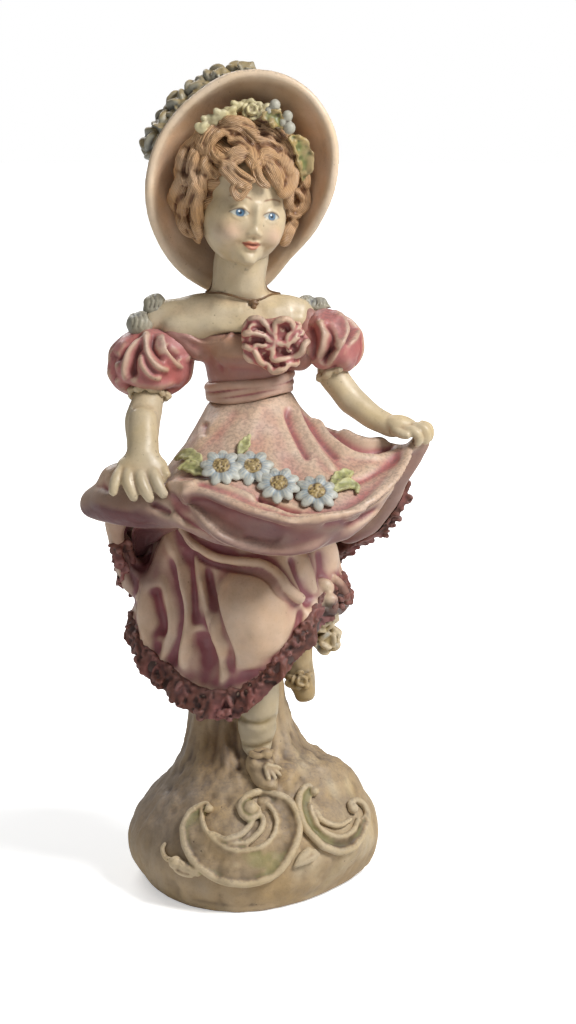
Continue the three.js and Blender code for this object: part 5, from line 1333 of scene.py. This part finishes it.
# Each lock has a width in pixels, how proud it lies, its number of grooves and a line of pixels
FOREHEAD = [
    (11, 1.4, 3, 218, 121, 206, 131, 199, 146),
    (15, 1.2, 4, 233, 117, 254, 122, 275, 130, 286, 143),
    (10, 2.0, 2, 226, 119, 214, 128, 206, 141, 204, 152),
    (12, 2.9, 3, 222, 127, 236, 128, 247, 136, 255, 146, 257, 157, 254, 164),
    (9, 3.0, 2, 219, 134, 210, 143, 209, 154, 216, 163, 226, 166),
    (5.5, 3.3, 0, 229, 138, 220, 140, 215, 148, 218, 157, 228, 158, 233, 152),
    (11, 3.0, 1, 231, 160, 241, 156, 250, 160, 253, 172),
    (8, 3.1, 2, 222, 164, 232, 176, 241, 184, 250, 188),
    (5.5, 3.4, 1, 231, 167, 239, 175, 247, 180, 253, 183),
    (5, 2.9, 0, 238, 183, 235, 191, 240, 198, 247, 192),
    (17, 2.2, 4, 255, 137, 270, 138, 282, 149, 285, 162),
    (14, 2.7, 2, 256, 166, 265, 158, 276, 163, 283, 175, 281, 188, 275, 194),
    (7, 2.2, 1, 257, 160, 255, 172, 259, 182, 266, 187),
    (10, 1.4, 3, 262, 122, 277, 129, 288, 143, 294, 156),
    (9, 2.3, 2, 240, 124, 256, 128, 270, 135),
    (8, 2.2, 2, 254, 133, 268, 134, 281, 143),
    (8, 2.6, 2, 256, 146, 268, 145, 282, 152),
    (7, 2.3, 1, 228, 146, 240, 142, 250, 150),
    (9, 1.6, 1, 206, 160, 212, 172, 220, 178),
    (10, 2.4, 2, 262, 156, 266, 168, 272, 179, 276, 190),
    (8, 2.2, 1, 270, 160, 274, 172, 279, 184),
    (7, 1.4, 1, 206, 172, 203, 186, 205, 200),
]
RIGHT = [
    (11, 1.8, 3, 203, 138, 191, 152, 185, 166, 183, 180),
    (10, 2.4, 2, 203, 144, 198, 160, 196, 176, 200, 187, 206, 195),
    (11, 2.2, 2, 189, 178, 180, 196, 177, 212, 181, 227, 192, 235),
    (8, 2.8, 1, 196, 186, 190, 202, 189, 217, 194, 228, 202, 231),
    (8.5, 2.4, 1, 204, 196, 200, 210, 203, 225, 206, 236),
    (8, 2.6, 1, 190, 160, 186, 174, 192, 184),
    (6, 2.2, 0, 186, 228, 191, 237, 200, 239, 205, 233),
]
LEFT = [
    (9, 1.8, 2, 287, 148, 296, 157, 302, 169, 302, 180),
    (9, 2.6, 2, 284, 160, 292, 166, 298, 176, 296, 188, 289, 191),
    (10, 2.6, 1, 296, 180, 304, 190, 307, 201, 302, 211, 292, 213, 286, 205),
    (7, 1.8, 1, 286, 190, 284, 202, 287, 214, 291, 224),
    (8, 2.4, 1, 290, 220, 298, 228, 298, 239, 290, 246, 283, 244),
    (4.5, 2.8, 0, 292, 196, 298, 201, 297, 208),
]
for name, rows in (("forehead_curls", FOREHEAD), ("side_curls_right", RIGHT), ("side_curls_left", LEFT)):
    locks = [(np.reshape(line, (-1, 2)), width, proud, grooves) for width, proud, grooves, *line in rows]
    form = Form([lock(line, width, proud) for line, width, proud, _ in locks], 0.3, 3, whole=True)
    for line, width, _, grooves in locks:
        combed(form, line, width, grooves + 1, 0.34)
    form.rough((0.08, 1.4, 73)).settle(1)
    paint = washed(form, "hair", "hair_deep", reach=0.8, depth=0.5)
    keep(name, form, paint, look="hair", strands=combing(form, locks))

# Bonnet

BRIM_REACH = [26.2, 29.4, 31.6, 30.6, 27.4, 26.5, 27.3, 29.4, 32.8, 34, 26.4, 24.7]


def brim_point(degrees, s, behind=0.0):
    """A point on the brim's front face: s is 0 at the inner edge and 1 at the rim."""
    turn = (degrees / 30) % 12
    i, f = int(turn), turn % 1
    a, b, c, d = (BRIM_REACH[(i + k) % 12] for k in (-1, 0, 1, 2))
    reach = b + 0.5 * f * (c - a + f * (2 * a - 5 * b + 4 * c - d + f * (3 * (b - c) + d - a)))
    cos, sin = math.cos(math.radians(degrees)), math.sin(math.radians(degrees))
    low = max(0.0, -sin) ** 2
    inner = np.array((-2.6 + 15.6 * cos, 7.0, 210 + (16 if sin > 0 else 22) * sin))
    outer = np.array((-1.7 + reach * cos, 7 - 13 * (1 - 1.15 * low), 212 + reach * sin))
    p = inner + (outer - inner) * s
    p[1] = inner[1] + (outer[1] - inner[1]) * max(s, 0.0) ** 1.25 + behind
    return p


brim_sheet = sheet(lambda u, w: brim_point(u * 360, 1.3 * w - 0.3, 1.2), 180, 26, 2.4, True)
rim = [(*brim_point(k * 4, 0.99, 1.2), 1.45) for k in range(90)]
brim = Form([brim_sheet, tube(rim, 12, 1.0, closed=True)], 0.42, 10)
brim.carve((
    (4, -0.3, 298, 96, 318, 130, 322, 176, 306, 222, 280, 262),
    (5, -0.25, 170, 170, 166, 205, 176, 240, 198, 268),
))
brim.rough((0.12, 7, 81)).settle(2)
across, up = brim.points[:, 0] + 1.7, brim.points[:, 2] - 212
turn = np.round(np.degrees(np.arctan2(up, across))).astype(int) % 360
edge = np.array([np.linalg.norm(brim_point(a, 1.0)[[0, 2]] - (-1.7, 212)) for a in range(360)])
reach = np.hypot(across, up) / edge[turn]
inside = ramp(0.97 - reach, 0, 0.07) * brim.front
# Painted light and shade on the brim's inside: lighter straw towards its left and right sides, and straw_shade deepest
# low down and near the hair, less on the right, with some mottling
side = ramp(np.abs(across), 13, 24)
low = 0.25 + 0.75 * ramp(214 - brim.points[:, 2], 0, 26) - 0.25 * ramp(brim.points[:, 0], 12, 24)
deep = 0.65 * low * (1 - 0.6 * side) * ramp(0.95 - reach, 0, 0.35) + 0.15 * mottle(brim.points, 8, 82)
paint = washed(brim, "rim", "straw", reach=0.2, depth=0.5)
paint = mixed(paint, PAINT["straw"] * (1.05 + 0.8 * side[:, None]), 0.85 * inside)
keep("bonnet_brim", brim, mixed(paint, "straw_shade", inside * deep))

crown = Form([node("bonnet_crown", 0.3), egg((-2.9, 10.6, 211.8), (20.2, 6.6, 21.4))], 0.5, 6, 1.1, 50)
at = crown.points - (-4.5, 13, 211)
pleats = 0.55 * np.cos(np.arctan2(at[:, 0], at[:, 2]) * 22) * ramp(np.hypot(at[:, 0], at[:, 2]), 2, 14)
crown.push += pleats * ramp(24 - at[:, 1], 0, 6) + 0.2 * mottle(at, 6, 83)
crown.settle(2)
ribbon = []
for k in range(72):
    a = k * math.pi / 36
    ribbon.append((-2.8 + 19.9 * math.cos(a), 8.6, 211.8 + 21.2 * math.sin(a), 1.5))
crown = crown.joined([tube(ribbon, 12, 1.0, closed=True)], 0.45, 2)
keep("bonnet_crown", crown, washed(crown, "rim", "straw"), look="rough")

ROSES = ((157, 1.03), (144, 1.02), (130, 1.02), (117, 1.01), (105, 0.97), (93, 0.93))
for k, (degrees, s) in enumerate(ROSES, 1):
    centre = brim_point(degrees, s, 7.8)
    facing = np.array((math.cos(math.radians(degrees)), -0.35, math.sin(math.radians(degrees))))
    size = 6.2 + 0.4 * (k % 2)
    petals = rose(centre, size, facing, 37 * k, ((0.30, 0.40, 3), (0.62, 0.12, 5)))
    form = Form(petals + [egg(centre, (size * 0.62,) * 3), node(f"bonnet_rose_{k}", -1.8)], 0.3, 5)
    form.rough((0.25, 2.2, 84 + k)).settle(1)
    # Ochre on faces that turn up and blue on faces that turn down: partly the roses' paint, partly painted light on
    # top and painted shade below
    upward = form.normal[:, 2]
    ochre = 0.75 * ramp(upward + 0.4 * mottle(form.points, 3, 90), 0.1, 0.8)
    paint = mixed(washed(form, "moss", "moss_deep"), "ochre", ochre)
    keep(f"bonnet_rose_{k}", form, 0.9 * mixed(paint, "petal_blue", 0.2 * ramp(-upward, -0.2, 0.5)))

garland = []
curl_ground = Ground(hair, head, finished["forehead_curls"]["form"], finished["side_curls_right"]["form"])
GARLAND = [(201.5, 130), (208, 124), (214, 120), (221, 117), (228, 113.5), (238, 109.5), (247, 107), (256, 107.5),
           (264.6, 109), (273, 115), (281, 122)]
for k, pixel in enumerate(GARLAND):
    place = curl_ground.seen(pixel, 0.8)
    turn = 35 * (-1) ** k
    garland.append(egg(place, (2.3, 1.0, 1.5), (0, turn, 0)))
    garland.append(egg(place + (0.8 * (-1) ** k, -0.4, 0.9), (1.5, 0.9, 1.1), (0, -turn, 20)))
garland += rose(curl_ground.seen((252, 114), 1.0), 2.9, (0, -1, 0.35), rings=((0.4, 0.4, 4), (0.8, 0.05, 6)))
garland.append(tube(laid(curl_ground, [(*pixel, 1.3) for pixel in GARLAND[::2]], 0.2), 8, 0.8))
garland = Form(garland, 0.28, 1)
keep("hair_garland", garland, mixed(washed(garland, "leaf", "leaf_deep"), "rim", 0.35))

leaves = []
for line in (
    (289, 136, 0.8, 297, 143, 2.1, 303, 153, 2.7, 305, 167, 2.2, 303, 182, 0.5),
    (262, 116, 0.6, 271, 117, 2.4, 279, 122, 1.9, 284, 128, 0.4),
):
    rows = [(*at_depth((px, py), -9.6 + 0.10 * (py - 134)), half) for px, py, half in np.reshape(line, (-1, 3))]
    leaves += leaf(rows, (0.3, -1, 0.25), 0.7)
form = Form(leaves, 0.26, 2, whole=True)
form.rough((0.6, 1.5, 91)).settle(1)
keep("bonnet_leaf", form, washed(form, "ochre", "leaf_deep"))

buds, stem = [], (*at_depth((272, 124), -8), 0.9)
for px, py, radius in ((275, 105, 1.6), (287.5, 116, 1.55), (289.5, 128, 1.75), (283, 122, 1.3), (269, 111, 1.2)):
    centre = at_depth((px, py), -10.4)
    buds += [egg(centre, (radius, radius, radius * 1.1)), tube([(*centre, 0.9), stem], 8, 0.6)]
buds = Form(buds, 0.26, 2)
keep("bonnet_buds", buds, washed(buds, "bud", "moss_deep"))


# Into the frame, with materials


class Nodes:
    """A material's or the world's node tree, with short ways to add to it."""

    def __init__(self, owner):
        owner.use_nodes = True
        self.tree = owner.node_tree

    def add(self, kind, *linked, **settings):
        """A node with settings by name and links into its first inputs; None leaves an input out."""
        added = self.tree.nodes.new("ShaderNode" + kind)
        for key, value in settings.items():
            if key in added.inputs:
                added.inputs[key].default_value = value
            else:
                setattr(added, key, value)
        for place, value in enumerate(linked):
            if value is not None:
                self.tree.links.new(value, added.inputs[place])
        return added

    def math(self, operation, *values):
        """The result of a Math node on outputs and numbers."""
        added = self.tree.nodes.new("ShaderNodeMath")
        added.operation = operation
        for place, value in enumerate(values):
            if isinstance(value, (int, float)):
                added.inputs[place].default_value = value
            else:
                self.tree.links.new(value, added.inputs[place])
        return added.outputs[0]

    def span(self, value, low, high, to_low, to_high):
        """A value carried over from one span to another, and held at its ends."""
        added = self.add("MapRange", value)
        for key, number in zip(("From Min", "From Max", "To Min", "To Max"), (low, high, to_low, to_high)):
            added.inputs[key].default_value = number
        return added.outputs[0]

    def cover(self, colour, name, share):
        """A colour with a share of a paint over it."""
        added = self.add("Mix", data_type="RGBA")
        share_input, _, _, _, _, _, base_input, paint_input = list(added.inputs)[:8]
        paint_input.default_value = (*PAINT[name], 1)
        self.tree.links.new(colour, base_input)
        self.tree.links.new(share, share_input)
        return added.outputs[2]


def painted_resin(name, roughness=0.46, speck=0.5, brush=1.0, dust=0.3, combed_hair=False):
    """Paint from the sculpted form, with mottling, brush marks, pinholes and worn gloss."""
    material = bpy.data.materials.new(name)
    nodes = Nodes(material)
    shader = nodes.tree.nodes["Principled BSDF"]
    place = nodes.add("TexCoord").outputs["Object"]

    def noise(scale, detail=3, lean=0.0):
        return nodes.add("TexNoise", place, Scale=scale, Detail=detail, Distortion=lean).outputs[0]

    link = nodes.tree.links.new
    tint = nodes.add("HueSaturation")
    link(nodes.add("Attribute", attribute_name="paint").outputs["Color"], tint.inputs["Color"])
    link(nodes.span(noise(170, 5), 0.3, 0.7, 0.90, 1.09), tint.inputs["Value"])
    link(nodes.span(noise(95, 3), 0.3, 0.7, 0.88, 1.12), tint.inputs["Saturation"])

    # Pinholes here and there, and a fine unevenness
    pit = nodes.add("TexVoronoi", place, Scale=330.0).outputs["Distance"]
    holes = nodes.math("MULTIPLY", nodes.span(pit, 0.06, 0.10, 1, 0), nodes.span(noise(60, 2), 0.52, 0.60, 0, 1))
    relief = nodes.math("MULTIPLY_ADD", holes, -1.4, nodes.span(noise(620, 5, 0.6), 0.2, 0.8, 0, 1.0))
    bump = nodes.add("Bump", Strength=0.35 * brush, Distance=0.00022)
    link(relief, bump.inputs["Height"])

    grime, share = "antique", nodes.span(noise(1500, 4), 0.56, 0.74, 0, 0.22 * speck)
    if combed_hair:
        strand = nodes.add("Attribute", attribute_name="strand").outputs["Fac"]
        wander = nodes.span(noise(300, 2), 0.3, 0.7, -1.2, 1.2)
        wave = nodes.math("SINE", nodes.math("MULTIPLY_ADD", strand, 2 * math.pi, wander))
        ridges = nodes.add("Bump", Strength=0.5, Distance=0.00025)
        link(wave, ridges.inputs["Height"])
        link(ridges.outputs[0], bump.inputs["Normal"])
        grime, share = "hair_deep", nodes.span(wave, -1, 0, 0.55, 0)
    paint = nodes.cover(tint.outputs[0], grime, share)

    # Dust on what faces up
    normal = nodes.add("SeparateXYZ", nodes.add("NewGeometry").outputs["Normal"])
    lying = nodes.span(normal.outputs["Z"], 0.25, 0.85, 0, dust)
    paint = nodes.cover(paint, "slate", nodes.math("MULTIPLY", lying, nodes.span(noise(1100, 5), 0.44, 0.60, 0.15, 1)))
    paint = nodes.cover(paint, "antique", nodes.span(holes, 0, 1, 0, 0.8 * speck))
    link(paint, shader.inputs["Base Color"])
    link(nodes.span(noise(420, 4), 0.3, 0.7, roughness - 0.07, roughness + 0.11), shader.inputs["Roughness"])
    link(bump.outputs[0], shader.inputs["Normal"])
    shader.inputs["Specular IOR Level"].default_value = 0.42
    return material


LOOKS = {
    "resin": dict(roughness=0.44, speck=0.5, brush=1.0, dust=0.42),
    "satin": dict(roughness=0.44, speck=0.5, brush=1.0, dust=0.12),
    "skin": dict(roughness=0.40, speck=0.55, brush=0.6, dust=0.12),
    "rough": dict(roughness=0.58, speck=0.8, brush=1.6, dust=0.4),
    "hair": dict(roughness=0.42, speck=0.3, brush=0.8, dust=0.1, combed_hair=True),
}


def put(name, form, paint, nodes, look, strands):
    mesh = bpy.data.meshes.new(name)
    points = (form.points + SHIFT) / MM
    mesh.from_pydata(points.tolist(), [], form.faces.tolist())
    mesh.attributes.new("paint", "FLOAT_COLOR", "POINT")
    values = np.ones((len(points), 4), np.float32)
    values[:, :3] = np.clip(paint, 0, 1)
    mesh.attributes["paint"].data.foreach_set("color", values.reshape(-1))
    if strands is not None:
        mesh.attributes.new("strand", "FLOAT", "POINT")
        mesh.attributes["strand"].data.foreach_set("value", strands.astype(np.float32))
    mesh.shade_smooth()
    added = bpy.data.objects.new("painted_" + name, mesh)
    bpy.context.scene.collection.objects.link(added)
    mesh.materials.append(painted_resin(name, **LOOKS[look]))
    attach(added, "root")
    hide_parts(*nodes)


for name, entry in finished.items():
    put(name, **entry)


# Floor, light and camera


def stage_material():
    """Off-white, and brighter where the camera sees it straight, so that only the shadow shows."""
    material = bpy.data.materials.new("floor")
    nodes = Nodes(material)
    shader = nodes.tree.nodes["Principled BSDF"]
    shader.inputs["Base Color"].default_value = (0.86, 0.86, 0.85, 1)
    shader.inputs["Roughness"].default_value = 0.8
    shader.inputs["Emission Color"].default_value = (1, 1, 1, 1)
    seen = nodes.add("LightPath").outputs["Is Camera Ray"]
    away = nodes.add("VectorMath", nodes.add("TexCoord").outputs["Object"], operation="LENGTH").outputs["Value"]
    glow = nodes.math("MULTIPLY", seen, nodes.span(away, 0.10, 0.45, 0.45, 1.2))
    nodes.tree.links.new(glow, shader.inputs["Emission Strength"])
    return material


FLOOR = 6.0
corners = [(-FLOOR, -FLOOR, 0), (FLOOR, -FLOOR, 0), (FLOOR, FLOOR, 0), (-FLOOR, FLOOR, 0)]
floor_mesh = bpy.data.meshes.new("floor")
floor_mesh.from_pydata(corners, [], [(0, 1, 2, 3)])
floor = bpy.data.objects.new("floor", floor_mesh)
bpy.context.scene.collection.objects.link(floor)
floor_mesh.materials.append(stage_material())

world = bpy.data.worlds.new("studio")
bpy.context.scene.world = world
nodes = Nodes(world)
backdrop = nodes.tree.nodes["Background"]
backdrop.inputs["Color"].default_value = (1, 1, 1, 1)
level = nodes.span(nodes.add("LightPath").outputs["Is Camera Ray"], 0, 1, 0.22, 1.0)
nodes.tree.links.new(level, backdrop.inputs["Strength"])


def lamp(name, place, size, power):
    light = bpy.data.lights.new(name, "AREA")
    light.shape = "DISK"
    light.size = size
    light.energy = power
    added = bpy.data.objects.new(name, light)
    bpy.context.scene.collection.objects.link(added)
    added.location = place
    added.rotation_euler = (Vector(LIT) - Vector(place)).to_track_quat("-Z", "Y").to_euler()


LIT = (0, 0, 0.13)
lamp("key", (0.58, -0.38, 0.80), 0.34, 11.0)
lamp("fill", (-0.8, -0.9, 0.40), 0.9, 0.8)
lamp("back", (-0.35, 0.7, 0.75), 0.6, 5.0)

SENSOR = 36.0
lens = bpy.data.cameras.new("camera")
lens.sensor_fit = "VERTICAL"
lens.sensor_height = SENSOR
lens.lens = FOCAL * SENSOR / HEIGHT
lens.clip_start = 0.01
camera = bpy.data.objects.new("camera", lens)
bpy.context.scene.collection.objects.link(camera)
camera.location = (EYE + SHIFT) / MM
camera.rotation_euler = (math.pi / 2 - LOOK_DOWN, 0, 0)
bpy.context.scene.camera = camera
bpy.context.scene.view_settings.view_transform = "Standard"

bpy.context.view_layer.update()
